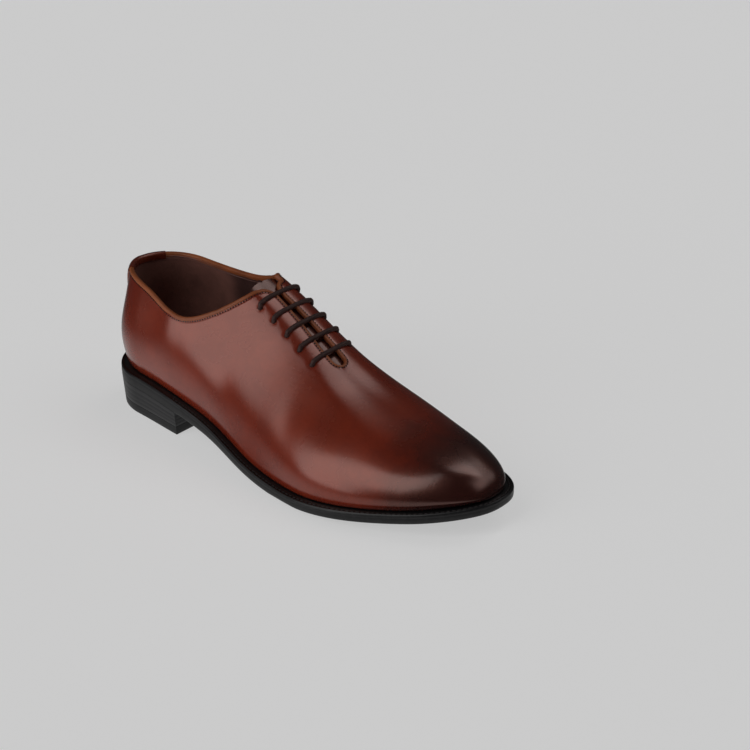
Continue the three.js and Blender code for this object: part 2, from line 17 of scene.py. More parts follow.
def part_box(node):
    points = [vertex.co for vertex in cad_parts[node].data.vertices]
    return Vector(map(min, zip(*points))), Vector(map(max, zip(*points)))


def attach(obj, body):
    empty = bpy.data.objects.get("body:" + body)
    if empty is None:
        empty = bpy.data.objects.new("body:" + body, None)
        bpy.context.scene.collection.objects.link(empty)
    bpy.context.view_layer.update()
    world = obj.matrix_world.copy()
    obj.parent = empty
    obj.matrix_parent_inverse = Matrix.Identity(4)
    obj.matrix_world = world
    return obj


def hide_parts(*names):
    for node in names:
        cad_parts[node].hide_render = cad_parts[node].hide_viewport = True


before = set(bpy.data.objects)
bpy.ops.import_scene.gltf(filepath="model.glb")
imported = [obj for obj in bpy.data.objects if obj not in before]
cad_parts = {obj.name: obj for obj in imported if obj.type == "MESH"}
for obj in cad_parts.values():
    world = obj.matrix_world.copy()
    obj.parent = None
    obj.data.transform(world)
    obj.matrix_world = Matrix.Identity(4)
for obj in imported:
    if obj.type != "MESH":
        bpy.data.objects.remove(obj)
for name in ("Cube", "Light", "Camera"):
    if name in bpy.data.objects:
        bpy.data.objects.remove(bpy.data.objects[name])
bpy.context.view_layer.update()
print("nodes:", ", ".join(sorted(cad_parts)))

# %% [markdown]
# The shoe's own sizes come first, in millimetres. Tables hold shares of them, one row for each
# section, as a last maker's sheet does.

# %% Sizes of the shoe
MM = 0.001
SOLE_LENGTH = 305
BALL_WIDTH = 108
HEEL_HEIGHT = 20.2
HEEL_LENGTH = 75
TOE_SPRING = 14.7
INSTEP_HEIGHT = 77
BACK_HEIGHT = 64.3
OUTSOLE = 5.2
WELT = 2.5
SEAM_GAP = 0.3
UPPER_LIFT = 0.45
SOLE_CROWN = 1.6
RIM_HEEL, RIM_SIDE, RIM_TOE = 3.2, 5.2, 5.6
UPPER_WALL = 2.2
THROAT_GAP, THROAT_TOP_GAP, THROAT_START, THROAT_FULL, THROAT_END = 9.4, 3.2, 100, 168, 182
FACING_CORNER, FACING_RADIUS, CORNER_ROUND = 128, 9, 0.035
EYELET_COUNT, EYELET_FIRST, EYELET_PITCH, EYELET_INSET = 5, 126.5, 11.2, 12.5
LACE_DIAMETER = 3.0
LATERAL, MEDIAL = -1, 1

OUTLINE = {
    "at": [0, .12, .24, .36, .48, .58, .66, .74, .83, .92, 1],
    LATERAL: [.338, .353, .393, .432, .513, .557, .577, .549, .453, .334, .232],
    MEDIAL: [.306, .309, .290, .245, .272, .356, .415, .427, .378, .312, .243],
}
SIDE_LINE = {
    "at": [0, .12, .24, .36, .48, .60, .72, .86, 1],
    "heel": [1, .96, .84, .54, .16, -.02, 0, 0, 0],
    "toe": [0, 0, 0, 0, 0, 0, .13, .45, 1],
}
LAST = {
    "at": [0, .10, .24, .38, .50, .60, .70, .80, .90, 1],
    "rise": [1.32, 1.30, 1.258, 1.15, .99, .81, .606, .444, .345, .280],
    "ridge": [.010, .010, 0, .026, .021, -.010, .002, .012, .010, .006],
    ("bulge", LATERAL): [.335, .345, .370, .400, .455, .515, .530, .450, .330, .235],
    ("bulge", MEDIAL): [.305, .310, .300, .300, .325, .365, .400, .370, .300, .225],
    ("shoulder", LATERAL): [.165, .190, .240, .260, .300, .326, .370, .330, .245, .175],
    ("shoulder", MEDIAL): [.180, .195, .230, .235, .250, .308, .326, .286, .212, .150],
    ("crown", LATERAL): [.065, .075, .100, .130, .120, .105, .150, .155, .130, .095],
    ("crown", MEDIAL): [.065, .075, .100, .150, .150, .158, .145, .138, .108, .080],
}
CONTROL_HEIGHT = [0, .15, .42, .78, 1]
BACK_LINE = {"height": [0, .37, .71, 1.08, 1.64], "lean": [-.010, -.036, .035, .050, .034]}
BACK_LINE_REACH = 95
TOPLINE = {
    "at": [0, .07, .15, .245, .33, .39, .43],
    LATERAL: [1, .990, .925, .822, .970, 1.180, 1.370],
    MEDIAL: [1, .985, .975, .985, 1.070, 1.270, 1.450],
}
# length of the rounding at an end, and the powers of its curve
HEEL_END, TOE_END, TOE_FALL = (34, 2.15, 2), (40, 2.4, 2.6), (48, 2.1, 2.1)
# The lace pulls the ridge of the instep down by this much, over this half width
FACING_FLAT, FACING_FLAT_WIDTH = 2.0, 28
print("tables:", len(OUTLINE["at"]), "rows of the sole,", len(LAST["at"]), "rows of the last")

# %% [markdown]
# A natural spline runs through each column of a table, and turns it into a smooth function of x. So
# every surface stays smooth however densely it is sampled, and the dense mesh here and the coarse
# solids lie on the same curves.

# %% Curves through the tables
def natural_spline(xs, ys):
    """A natural cubic spline through the rows of a table."""
    xs, ys = np.array(xs, float), np.array(ys, float)
    span, n = np.diff(xs), len(xs)
    rows, right = np.eye(n), np.zeros(n)
    for i in range(1, n - 1):
        rows[i, i - 1:i + 2] = span[i - 1], 2 * (span[i - 1] + span[i]), span[i]
        right[i] = 6 * ((ys[i + 1] - ys[i]) / span[i] - (ys[i] - ys[i - 1]) / span[i - 1])
    bend = np.linalg.solve(rows, right)

    def at(x):
        x = np.asarray(x, float)
        i = np.clip(np.searchsorted(xs, x) - 1, 0, n - 2)
        t, w = x - xs[i], span[i]
        slope = (ys[i + 1] - ys[i]) / w - w * (2 * bend[i] + bend[i + 1]) / 6
        return ys[i] + slope * t + bend[i] * t * t / 2 + (bend[i + 1] - bend[i]) * t ** 3 / (6 * w)
    return at


def column(table, key, length, size, place="at"):
    return natural_spline(np.array(table[place]) * length, np.array(table[key]) * size)


edge = {side: column(OUTLINE, side, SOLE_LENGTH, BALL_WIDTH) for side in (LATERAL, MEDIAL)}
heel_rise = column(SIDE_LINE, "heel", SOLE_LENGTH, HEEL_HEIGHT)
toe_rise = column(SIDE_LINE, "toe", SOLE_LENGTH, TOE_SPRING)
last_rise = column(LAST, "rise", SOLE_LENGTH, INSTEP_HEIGHT)
last = {key: column(LAST, key, SOLE_LENGTH, BALL_WIDTH) for key in LAST if key != "at"}
back_lean = column(BACK_LINE, "lean", BACK_HEIGHT, BACK_HEIGHT, "height")
topline = {side: column(TOPLINE, side, SOLE_LENGTH, BACK_HEIGHT) for side in (LATERAL, MEDIAL)}


def seat(x):
    """Height of the welt's top, where the upper stands."""
    return OUTSOLE + SEAM_GAP + WELT + heel_rise(x) + toe_rise(x)


def rounded(distance, end):
    """0 at the very end of the shoe and 1 away from it."""
    length, inner, outer = end
    t = np.clip(1 - distance / length, 0, 1)
    return (1 - t ** inner) ** (1 / outer)


def smooth(t):
    """A soft step from 0 to 1."""
    t = np.clip(t, 0, 1)
    return t * t * (3 - 2 * t)


ball_width = float(edge[LATERAL](190) + edge[MEDIAL](190))
print("sole length", SOLE_LENGTH, "mm, width at the ball", round(ball_width, 1), "mm")

# %% [markdown]
# The last is a solid foot form. Each cross-section is a B-spline over eleven control points: feather
# edge, bulge, shoulder and crown on both sides of the ridge. A point on the leather is then named by
# three numbers: its share of the length, how far up the section it lies and how deep in the wall.

# %% The last as a function
def even(distance):
    return distance, distance, distance


def rim(extra):
    return RIM_HEEL + extra, RIM_SIDE + extra, RIM_TOE + extra


def outline(share, side, inset):
    """x, y, middle line and end rounding of a place on the sole's edge, drawn in by inset."""
    heel, flank, toe = inset
    x = heel + (SOLE_LENGTH - heel - toe) * share
    middle = (edge[MEDIAL](x) - edge[LATERAL](x)) / 2
    half = (edge[MEDIAL](x) + edge[LATERAL](x)) / 2 - flank
    end = rounded(x - heel, HEEL_END) * rounded(SOLE_LENGTH - toe - x, TOE_END)
    return x, middle + side * half * end, middle, end


KNOTS = np.clip((np.arange(15) - 3) / 8, 0, 1)


def spline_weights(u):
    """The share of each of the eleven control points at a place along the section."""
    u = np.clip(u, 0, 1 - 1e-9)[..., None]
    weights = ((u >= KNOTS[:-1]) & (u < KNOTS[1:])).astype(float)
    for p in (1, 2, 3):
        left, right = KNOTS[p:-1] - KNOTS[:-1 - p], KNOTS[p + 1:] - KNOTS[1:-p]
        rising = (u - KNOTS[:-1 - p]) * np.divide(1, left, where=left > 0, out=np.zeros_like(left))
        falling = (KNOTS[p + 1:] - u) * np.divide(1, right, where=right > 0, out=np.zeros_like(right))
        weights = rising * weights[..., :-1] + falling * weights[..., 1:]
    return weights


def laced_flat(x, away):
    """How far the lace has pulled the ridge down, at a distance from the middle of the throat."""
    along = smooth((x - 90) / 28) * smooth((238 - x) / 46)
    return FACING_FLAT * along * np.cos(np.clip(away / FACING_FLAT_WIDTH, 0, 1) * math.pi / 2) ** 2


def last_point(share, up, side, inset=0.0):
    """A point on the last: up is 0 at the welt and 1 at the ridge, inset is depth in the wall."""
    share, up, inset = np.broadcast_arrays(*np.atleast_1d(share, up, inset))
    x, feather, middle, end = outline(share, side, rim(inset))
    height = (last_rise(x) - inset) * rounded(SOLE_LENGTH - RIM_TOE - inset - x, TOE_FALL)
    seam = middle * (1 - end)
    centre = seam + last["ridge"](x) * end
    ys, zs = [], []
    for s in (LATERAL, MEDIAL):
        foot = outline(share, s, rim(inset))[1]
        bulge = seam + s * (last[("bulge", s)](x) - inset) * end
        shoulder = centre + s * (last[("shoulder", s)](x) - inset) * end
        crown = centre + s * (last[("crown", s)](x) - inset / 2) * end
        half = [foot, bulge, bulge, shoulder, crown]
        ys += half + [centre] if s == LATERAL else half[::-1]
        zs += CONTROL_HEIGHT + [1] if s == LATERAL else CONTROL_HEIGHT[::-1]
    weights = spline_weights(up / 2 if side == LATERAL else 1 - up / 2)
    y = sum(weights[..., k] * ys[k] for k in range(11))
    z = seat(x) + UPPER_LIFT + height * sum(weights[..., k] * zs[k] for k in range(11))
    z = z - laced_flat(x, np.abs(y - centre))
    reach = np.maximum(1 - x / BACK_LINE_REACH, 0) ** 2
    return np.stack([x + back_lean(z - seat(0)) * reach, y, z], -1)


def find_up(measure, value, shape):
    """The place up each section where a measure that grows with it reaches a value."""
    low, high = np.zeros(shape), np.ones(shape)
    for _ in range(30):
        middle = (low + high) / 2
        below = measure(middle) < value
        low, high = np.where(below, middle, low), np.where(below, high, middle)
    return (low + high) / 2


def share_of(x, inset=0.0):
    heel, _, toe = rim(inset)
    return (np.asarray(x, float) - heel) / (SOLE_LENGTH - heel - toe)


def up_at(share, side, distance, inset=0.0):
    """Place up the section at a sideways distance from the ridge."""
    centre = last_point(share, 1.0, side, inset)[..., 1]
    away = lambda down: np.abs(last_point(share, 1 - down, side, inset)[..., 1] - centre)
    return 1 - find_up(away, distance, np.shape(share))


def throat_half(x):
    """Half the width of the throat: round at its end, flared at the facing corner."""
    opened = np.clip((x - FACING_CORNER) / (THROAT_FULL - FACING_CORNER), 0, 1)
    half = (THROAT_TOP_GAP + (THROAT_GAP - THROAT_TOP_GAP) * opened) / 2
    over = np.clip(x - (THROAT_END - half), 0, half)
    back = np.clip(FACING_CORNER - x, 0, FACING_RADIUS)
    return np.sqrt(half ** 2 - over ** 2) + FACING_RADIUS - np.sqrt(FACING_RADIUS ** 2 - back ** 2)


def opening_up(share, side):
    """The upper's edge: topline, rounded facing corner and throat, as places up the sections."""
    share = np.asarray(share, float)
    x = last_point(share, 1.0, side)[..., 0]
    reach = np.minimum(x, SOLE_LENGTH * TOPLINE["at"][-1])
    rail = np.where(share > 0, topline[side](reach), topline[LATERAL](reach))
    collar = find_up(lambda up: last_point(share, up, side)[..., 2], seat(0) + rail, share.shape)
    throat = up_at(share, side, throat_half(x))
    soft = CORNER_ROUND * np.clip((THROAT_END - x) / (THROAT_END - THROAT_START), 0, 1)
    joined = (collar + throat - np.hypot(collar - throat, 2 * soft)) / 2 + soft ** 2
    return np.where(x > THROAT_END - 1e-6, 1.0, np.where(x < THROAT_START, collar, joined))


print("height of the last over the ball:", round(float(last_rise(190)), 1), "mm")

# %% [markdown]
# Every surface of the shoe is a grid of points. One small class collects grids, welds the points
# that meet and makes one closed mesh. The points are still in the last's own millimetres, with the
# heel's back at x = 0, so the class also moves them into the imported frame.

# %% Grids to meshes
ring_shares = (1 - np.cos(np.pi * np.linspace(0, 1, 35))) / 2
SHIFT = np.array([
    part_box("outsole")[0][0] / MM,
    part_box("outsole")[0][1] / MM - outline(ring_shares, LATERAL, even(0))[1].min(),
    0.0,
])


class Skin:
    """Grids of points that become one mesh."""

    def __init__(self):
        self.points, self.quads, self.notes, self.count = [], [], [], 0

    def add(self, grid, flip=False, loop=False, note=None):
        """Adds a grid of points, with a pair of numbers for each point as its UV if given."""
        n, m = grid.shape[:2]
        index = self.count + np.arange(n * m).reshape(n, m)
        if loop:
            index = np.vstack([index, index[:1]])
        corners = [index[:-1, :-1], index[1:, :-1], index[1:, 1:], index[:-1, 1:]]
        quads = np.stack(corners, -1).reshape(-1, 4)
        self.quads.append(quads[:, ::-1] if flip else quads)
        self.points.append(np.reshape(grid, (-1, 3)))
        self.notes.append(np.zeros((n * m, 2)) if note is None else np.reshape(note, (-1, 2)))
        self.count += n * m
        return self

    def make(self, name, weld=2e-6, sharp=None):
        """The welded mesh as an object at the origin."""
        points = (np.concatenate(self.points) + SHIFT) * MM
        mesh = bpy.data.meshes.new(name)
        mesh.from_pydata(points.tolist(), [], np.concatenate(self.quads).tolist())
        notes = np.concatenate(self.notes)
        work = bmesh.new()
        work.from_mesh(mesh)
        layer = work.loops.layers.uv.new("UVMap")
        for face in work.faces:
            for loop in face.loops:
                loop[layer].uv = notes[loop.vert.index]
        bmesh.ops.remove_doubles(work, verts=work.verts, dist=weld)
        bmesh.ops.dissolve_degenerate(work, dist=1e-7, edges=work.edges)
        work.to_mesh(mesh)
        work.free()
        mesh.shade_smooth()
        if sharp:
            mesh.set_sharp_from_angle(angle=math.radians(sharp))
        piece = bpy.data.objects.new(name, mesh)
        bpy.context.scene.collection.objects.link(piece)
        return piece


def tell(piece):
    """Prints the size of a mesh and whether no edge of it is open."""
    work = bmesh.new()
    work.from_mesh(piece.data)
    closed = all(edge.is_manifold for edge in work.edges)
    work.free()
    print(piece.name + ":", len(piece.data.polygons), "faces, closed:", closed)


print("shift into the packed frame:", SHIFT.round(3))

# %% [markdown]
# The edge of the opening is one line: up the collar, round the facing corner, down the throat and
# back on the other side. Binding, stitches and the rounded edge all follow it, so it is sampled
# once, at even steps, with three directions at each step: along, out of the leather, and away
# from the opening.

# %% The line of the opening
def crowded(start, stop, steps, power):
    """Steps from start to stop that crowd at the start, or at the stop with a negative power."""
    t = np.linspace(0, 1, steps + 1)[1:]
    return start + (stop - start) * (t ** power if power > 0 else 1 - (1 - t) ** -power)


def unit(v):
    return v / np.maximum(np.linalg.norm(v, axis=-1, keepdims=True), 1e-12)


def surface_normal(share, up, side, inset=0.0):
    """The direction out of the leather at a place of the last."""
    step = 1e-4
    ahead, behind = share + step, np.maximum(share - step, 0)
    along = last_point(ahead, up, side, inset) - last_point(behind, up, side, inset)
    above, below = np.minimum(up + step, 1), up - step
    over = last_point(share, above, side, inset) - last_point(share, below, side, inset)
    return unit(np.cross(along, over)) * -side


def evenly(points, step, closed_loop=True, extra=()):
    """Resamples a line at even steps, and other values along it with it."""
    joined = np.vstack([points, points[:1]]) if closed_loop else points
    length = np.concatenate([[0], np.cumsum(np.linalg.norm(np.diff(joined, axis=0), axis=1))])
    count = int(round(length[-1] / step))
    at = np.linspace(0, length[-1], count + (not closed_loop), endpoint=not closed_loop)

    def sample(values):
        whole = np.vstack([values, values[:1]]) if closed_loop else values
        return np.stack([np.interp(at, length, row) for row in whole.T], -1)

    return (sample(points), *[sample(v) for v in extra], at)


START, CORNER, END = (float(share_of(x)) for x in (THROAT_START, FACING_CORNER, THROAT_END))
half_loop = np.concatenate([
    [0], crowded(0, .06, 60, 2), crowded(.06, START, 160, 1), crowded(START, CORNER, 160, 1),
    crowded(CORNER, float(share_of(THROAT_END - 6)), 120, 1),
    crowded(float(share_of(THROAT_END - 6)), END, 80, -2.2)])
lines, normals = [], []
for side in (LATERAL, MEDIAL):
    up = opening_up(half_loop, side)
    up[-1] = 1
    lines.append(last_point(half_loop, up, side))
    normals.append(surface_normal(np.clip(half_loop, 1e-3, 1), np.minimum(up, .9999), side))
loop_points = np.vstack([lines[0], lines[1][::-1][1:-1]])
loop_normals = np.vstack([normals[0], normals[1][::-1][1:-1]])
RIM_STEP = 0.5
rim_line, rim_out, _ = evenly(loop_points, RIM_STEP, extra=(loop_normals,))
for _ in range(6):
    rim_line = (np.roll(rim_line, 1, 0) + 2 * rim_line + np.roll(rim_line, -1, 0)) / 4
    rim_out = unit(np.roll(rim_out, 1, 0) + 2 * rim_out + np.roll(rim_out, -1, 0))
rim_along = unit(np.roll(rim_line, -1, 0) - np.roll(rim_line, 1, 0))
rim_away = unit(np.cross(rim_out, rim_along))
if np.mean(rim_away[:, 2]) > 0:
    rim_away = -rim_away
rim_length = np.linalg.norm(np.diff(rim_line, axis=0), axis=1).sum()
print("opening edge:", round(float(rim_length)), "mm round,", len(rim_line), "steps")

# %% [markdown]
# The upper is calf of about 1.3 mm, wetted and pulled over the last, so it is nearly free of folds.
# What is left is given as soft troughs and ridges: the pull below the last eyelets, the hollow of the waist,
# the pleats at the heel seat, the channel of the stitch row and a small dent at each eyelet. A troughs table
# holds one row for each long trough or ridge, which a Gaussian across and along shapes; the pleats, the
# channel and the dents have sizes of their own.

# %% Relief of the leather
EYELETS = [(i, side) for side in (LATERAL, MEDIAL) for i in range(EYELET_COUNT)]


def eyelet(index, side, inset=0.0):
    share = share_of([EYELET_FIRST + index * EYELET_PITCH])
    up = up_at(share, side, THROAT_GAP / 2 + EYELET_INSET)
    return share, up, last_point(share, up, side, inset)[0], surface_normal(share, up, side)[0]


eyelet_places = np.array([eyelet(i, side)[2] for i, side in EYELETS])
STITCH_IN, EDGE_RADIUS = 2.55, 0.8
# depth and size of the stitch channel, the nip at the welt, the seat's pleats, the eyelet dents
CHANNEL, NIP, PLEATS, DENT = (0.22, 0.5), (0.45, 1.1), (0.35, 4), (0.3, 2.0)
PLEATS_END = 62
# side, x and rise of the middle, angle (degrees, 0 points to the toe), half length, half width, depth
TROUGHS = [
    (LATERAL, 176, 44, -75, 20, 9, 0.3),
    (LATERAL, 196, 52, -20, 15, 9, 0.3),
    (MEDIAL, 178, 44, -75, 18, 9, 0.4),
    (LATERAL, 118, 34, -60, 26, 14, 0.7),
    (LATERAL, 66, 46, 80, 24, 8, -0.45),
    (MEDIAL, 66, 46, 80, 24, 8, -0.45),
]


def slim(x):
    """The binding is narrower down the throat than round the collar."""
    return 1 - .3 * smooth((x - 116) / 14)


def trough(x, rise, row):
    """One row of the table: a long soft trough, or a ridge where its depth is negative."""
    _, at_x, at_rise, angle, length, width, depth = row
    turn = math.radians(angle)
    u = (x - at_x) * math.cos(turn) + (rise - at_rise) * math.sin(turn)
    v = -(x - at_x) * math.sin(turn) + (rise - at_rise) * math.cos(turn)
    return -depth * np.exp(-(u / length) ** 2 - (v / width) ** 2)


def nearest(points, targets):
    """Distance from each point to the nearest of the targets."""
    tree = KDTree(len(targets))
    for i, p in enumerate(targets):
        tree.insert(p, i)
    tree.balance()
    return np.array([tree.find(p)[2] for p in points.reshape(-1, 3)]).reshape(points.shape[:-1])


def relief(base, rise, side):
    """Height of the leather over the plain last, in millimetres."""
    x = base[..., 0]
    to_rim = nearest(base, rim_line)
    inside = np.clip(EDGE_RADIUS - to_rim, 0, EDGE_RADIUS)
    height = np.sqrt(EDGE_RADIUS ** 2 - inside ** 2) - EDGE_RADIUS
    height -= CHANNEL[0] * np.exp(-((to_rim - STITCH_IN * slim(x)) / CHANNEL[1]) ** 2)
    height -= NIP[0] * np.exp(-rise / NIP[1])
    waves = np.sin(x * 1.05 + 3 * side) * np.sin(x * 0.37 + 1)
    height += PLEATS[0] * waves * np.exp(-rise / PLEATS[1]) * np.clip(1 - x / PLEATS_END, 0, 1)
    for row in TROUGHS:
        if row[0] == side:
            height += trough(x, rise, row)
    for place in eyelet_places:
        height -= DENT[0] * np.exp(-(np.linalg.norm(base - place, axis=-1) / DENT[1]) ** 2)
    return height


upper_shares = np.concatenate([
    [0], crowded(0, float(share_of(22)), 30, 2), crowded(float(share_of(22)), START, 50, 1),
    crowded(START, CORNER, 44, 1), crowded(CORNER, float(share_of(THROAT_END - 6)), 42, 1),
    crowded(float(share_of(THROAT_END - 6)), END, 18, -2.2),
    crowded(END, float(share_of(250)), 46, 1), crowded(float(share_of(250)), 1, 46, -2)])


def row_places(rows):
    """Rows from 0 to 1 that crowd at the opening, and a little at the welt."""
    j = np.arange(rows)
    step = np.minimum(np.clip(.08 + (rows - 1 - j) / 15, .08, 1), np.clip(.3 + j / 8, .3, 1))
    return np.concatenate([[0], np.cumsum(step)]) / step.sum()


throat_closes = upper_shares >= END - 1e-9


def leather_grids(inset, rows):
    """Both halves of the upper at one depth, with the relief on them, and the rise of each point."""
    place = row_places(rows)
    ups, lifts, notes = [], [], []
    for side in (LATERAL, MEDIAL):
        up = opening_up(upper_shares, side)[:, None] * place
        base = last_point(upper_shares[:, None], up, side)
        steps = np.linalg.norm(np.diff(base, axis=1), axis=-1)
        rise = np.concatenate([np.zeros((len(up), 1)), np.cumsum(steps, 1)], 1)
        ups.append(up)
        lifts.append(relief(base, rise, side))
        notes.append(np.stack([base[..., 0], rise], -1))
    ridge = (lifts[0][:, -1] + lifts[1][:, -1]) / 2
    ends = np.clip(np.minimum(upper_shares / .01, (1 - upper_shares) / .02), 0, 1)[:, None]
    grids = []
    for k, side in enumerate((LATERAL, MEDIAL)):
        join = (ridge - lifts[k][:, -1])[:, None] * place ** 6 * throat_closes[:, None]
        grids.append(last_point(upper_shares[:, None], ups[k], side, inset - (lifts[k] + join) * ends))
    return grids, notes


def leather_shell(name, outer, inner, rows, back_rows):
    """A closed layer of the upper between two depths of the wall."""
    skin = Skin()
    outs, notes = leather_grids(outer, rows)
    inns, _ = leather_grids(inner, back_rows)
    for side, out, inn, note in zip((LATERAL, MEDIAL), outs, inns, notes):
        flip = side == MEDIAL
        skin.add(out, flip, note=note)
        skin.add(inn, not flip)
        skin.add(np.stack([inn[:, 0], out[:, 0]], 1), flip)
        open_part = ~throat_closes
        open_part[np.argmax(throat_closes)] = True
        skin.add(np.stack([out[open_part, -1], inn[open_part, -1]], 1), flip)
    piece = skin.make(name)
    tell(piece)
    return piece


CALF, GLUE = 1.25, 0.1
upper = leather_shell("upper_leather", 0.0, CALF, 70, 40)
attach(upper, "root")
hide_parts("upper")

# %% [markdown]
# Inside lies a lining of thin leather. It stays its own piece, because it has its own colour and
# hand, and it stops under the binding that closes both edges.

# %% Lining
lining = leather_shell("upper_lining", CALF + GLUE, UPPER_WALL, 40, 46)
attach(lining, "root")

# %% [markdown]
# The eyelets are plain punched holes with no metal. A cutter of ten short cylinders goes through
# leather and lining with one Boolean, as a punch does.

# %% Punched eyelets
EYELET_BORE, PUNCH_IN, PUNCH_OUT = 3.3, 4, 3


def tube(points, radius, sides=16, loop=False, squash=None):
    """A round tube along a line, its frames carried along without a twist."""
    points = np.asarray(points, float)
    along = np.roll(points, -1, 0) - np.roll(points, 1, 0)
    if not loop:
        along[0], along[-1] = points[1] - points[0], points[-1] - points[-2]
    along = unit(along)
    first = np.cross(along[0], [0.0, 0.0, 1.0])
    if np.linalg.norm(first) < .1:
        first = np.cross(along[0], [0.0, 1.0, 0.0])
    frame_u = [unit(first)]
    for t in along[1:]:
        u = frame_u[-1] - t * np.dot(frame_u[-1], t)
        frame_u.append(unit(u))
    frame_u = np.array(frame_u)
    frame_v = np.cross(along, frame_u)
    turn = np.linspace(0, 2 * np.pi, sides + 1)[None, :, None]
    radius = np.broadcast_to(radius, (len(points), sides + 1))[..., None]
    offset = radius * (np.cos(turn) * frame_u[:, None] + np.sin(turn) * frame_v[:, None])
    if squash is not None:
        normal, keep = squash
        flat = (offset * normal[:, None]).sum(-1, keepdims=True)
        offset = offset - (1 - keep[:, None, None]) * flat * normal[:, None]
    grid = points[:, None] + offset
    length = np.concatenate([[0], np.cumsum(np.linalg.norm(np.diff(points, axis=0), axis=1))])
    note = np.stack(np.broadcast_arrays(length[:, None], np.linspace(0, 1, sides + 1)[None]), -1)
    return grid, note


def capped(skin, grid, note=None):
    """Adds a tube with both ends closed to a middle point."""
    skin.add(grid, flip=True, note=note)
    for end, flip in ((grid[0], False), (grid[-1], True)):
        fan = np.stack([end, np.broadcast_to(end[:-1].mean(0), end.shape)])
        skin.add(fan, flip=flip)
    return skin


punch = Skin()
for i, side in EYELETS:
    _, _, place, normal = eyelet(i, side)
    ends = [place - normal * PUNCH_IN, place + normal * PUNCH_OUT]
    capped(punch, tube(ends, EYELET_BORE / 2, 20)[0])
cutter = punch.make("eyelet_punch")
for piece in (upper, lining):
    cut = piece.modifiers.new("punch", "BOOLEAN")
    cut.object = cutter
    cut.operation = "DIFFERENCE"
    cut.solver = "EXACT"
    done = piece.evaluated_get(bpy.context.evaluated_depsgraph_get())
    result = bpy.data.meshes.new_from_object(done)
    piece.modifiers.remove(cut)
    piece.data = result
    piece.data.set_sharp_from_angle(angle=math.radians(50))
    tell(piece)
bpy.data.objects.remove(cutter)

# %% [markdown]
# A binding closes the edge of the collar and the facings: a strip of lighter leather, folded over the
# cut edge and sewn through. Its cross-section is a small table of two distances, away from the
# opening and out of the leather, swept round the line of the opening.

# %% Binding of the opening
def swept(profile, line, away, out):
    """A closed strip: each row of the profile is (away, out) in millimetres."""
    profile = np.array(profile + profile[:1], float)
    width = slim(line[:, 0])[:, None, None]
    grid = line[:, None] + profile[None, :, :1] * width * away[:, None]
    grid = grid + profile[None, :, 1:] * out[:, None]
    around = np.linspace(0, 1, len(profile))
    along = np.arange(len(line)) * RIM_STEP
    return grid, np.stack(np.broadcast_arrays(along[:, None], around[None]), -1)


def smooth_profile(rows, steps):
    """A closed outline through a few corners, rounded by repeated cutting of its corners."""
    points = np.array(rows, float)
    for _ in range(steps):
        ahead = np.roll(points, -1, 0)
        points = np.stack([points * .75 + ahead * .25, points * .25 + ahead * .75], 1).reshape(-1, 2)
    return points.tolist()


BINDING = smooth_profile([
    (2.0, -.6), (2.0, .20), (1.1, .52), (.2, .46), (-.5, .08), (-.68, -.9), (-.6, -1.9),
    (-.1, -2.55), (1.2, -2.75), (2.5, -2.70), (2.6, -2.0), (1.2, -1.1)], 2)
binding = Skin()
grid, note = swept(BINDING, rim_line, rim_away, rim_out)
binding.add(grid, loop=True, note=note)
binding = binding.make("topline_binding")
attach(binding, "root")
tell(binding)

# The trimmed edge of the lining, a thin bead inside the binding
BEAD_AWAY, BEAD_IN, BEAD_RADIUS = 3.7, .12, .42
bead_line = rim_line + rim_away * BEAD_AWAY - rim_out * (UPPER_WALL + BEAD_IN)
bead = Skin().add(tube(bead_line, BEAD_RADIUS, 10, loop=True)[0], flip=True, loop=True)
bead = bead.make("lining_edge")
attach(bead, "root")
tell(bead)

# %% [markdown]
# The tongue is a strip of the same calf under the facings, coloured near black as painted shade for the dark
# throat it lies in. It follows the last at a depth of its own, as the solid does, and its free edges are
# skived round.

# %% Tongue
TONGUE_THICKNESS, TONGUE_GAP, TONGUE_TIP, TONGUE_END = 1.8, 1.1, 112, 200
TONGUE_HALF_WIDTH, TONGUE_TIP_ROUND, TONGUE_SKIVE = 25, 12, 0.9


def slab(shares, rows, outer, inner, foot, edge_round):
    """A closed strip of the last between two depths, its free edges rounded."""
    skin = Skin()
    place = np.linspace(0, 1, rows)
    for side in (LATERAL, MEDIAL):
        low = foot(shares, side)[:, None]
        up = low + (1 - low) * place
        middle = (outer + inner) / 2
        base = last_point(shares[:, None], up, side, middle)
        width = np.linalg.norm(base[:, -1] - base[:, 0], axis=-1)[:, None]
        sides = np.minimum(place * width, 9.0)
        front = np.linalg.norm(base - base[:1], axis=-1)
        back = np.linalg.norm(base - base[-1:], axis=-1)
        free = np.minimum(np.minimum(sides, front), back)
        t = np.clip(free / edge_round, 0, 1)
        swell = np.sqrt(1 - (1 - t) ** 2)
        half = (inner - outer) / 2
        out = last_point(shares[:, None], up, side, middle - half * swell)
        inn = last_point(shares[:, None], up, side, middle + half * swell)
        flip = side == MEDIAL
        note = np.stack(np.broadcast_arrays(base[..., 0], free), -1)
        skin.add(out, flip, note=note).add(inn, not flip, note=note)
    return skin


tongue_x = np.concatenate([TONGUE_TIP + 14 * np.linspace(0, 1, 26) ** 1.8, np.linspace(127, TONGUE_END, 50)])
tongue_shares = share_of(tongue_x, UPPER_WALL + TONGUE_GAP)


def tongue_foot(shares, side):
    """The side edge of the tongue, rounded towards its tip."""
    depth = UPPER_WALL + TONGUE_GAP
    x = last_point(shares, 1.0, side, depth)[..., 0]
    t = np.clip((x - x[0]) / TONGUE_TIP_ROUND, 0, 1)
    return up_at(shares, side, TONGUE_HALF_WIDTH * np.sqrt(1 - (1 - t) ** 2.4), depth)


tongue = slab(tongue_shares, 30, UPPER_WALL + TONGUE_GAP,
              UPPER_WALL + TONGUE_GAP + TONGUE_THICKNESS, tongue_foot, TONGUE_SKIVE)
tongue = tongue.make("tongue_leather", weld=2e-5)
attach(tongue, "root")
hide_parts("tongue")
tell(tongue)

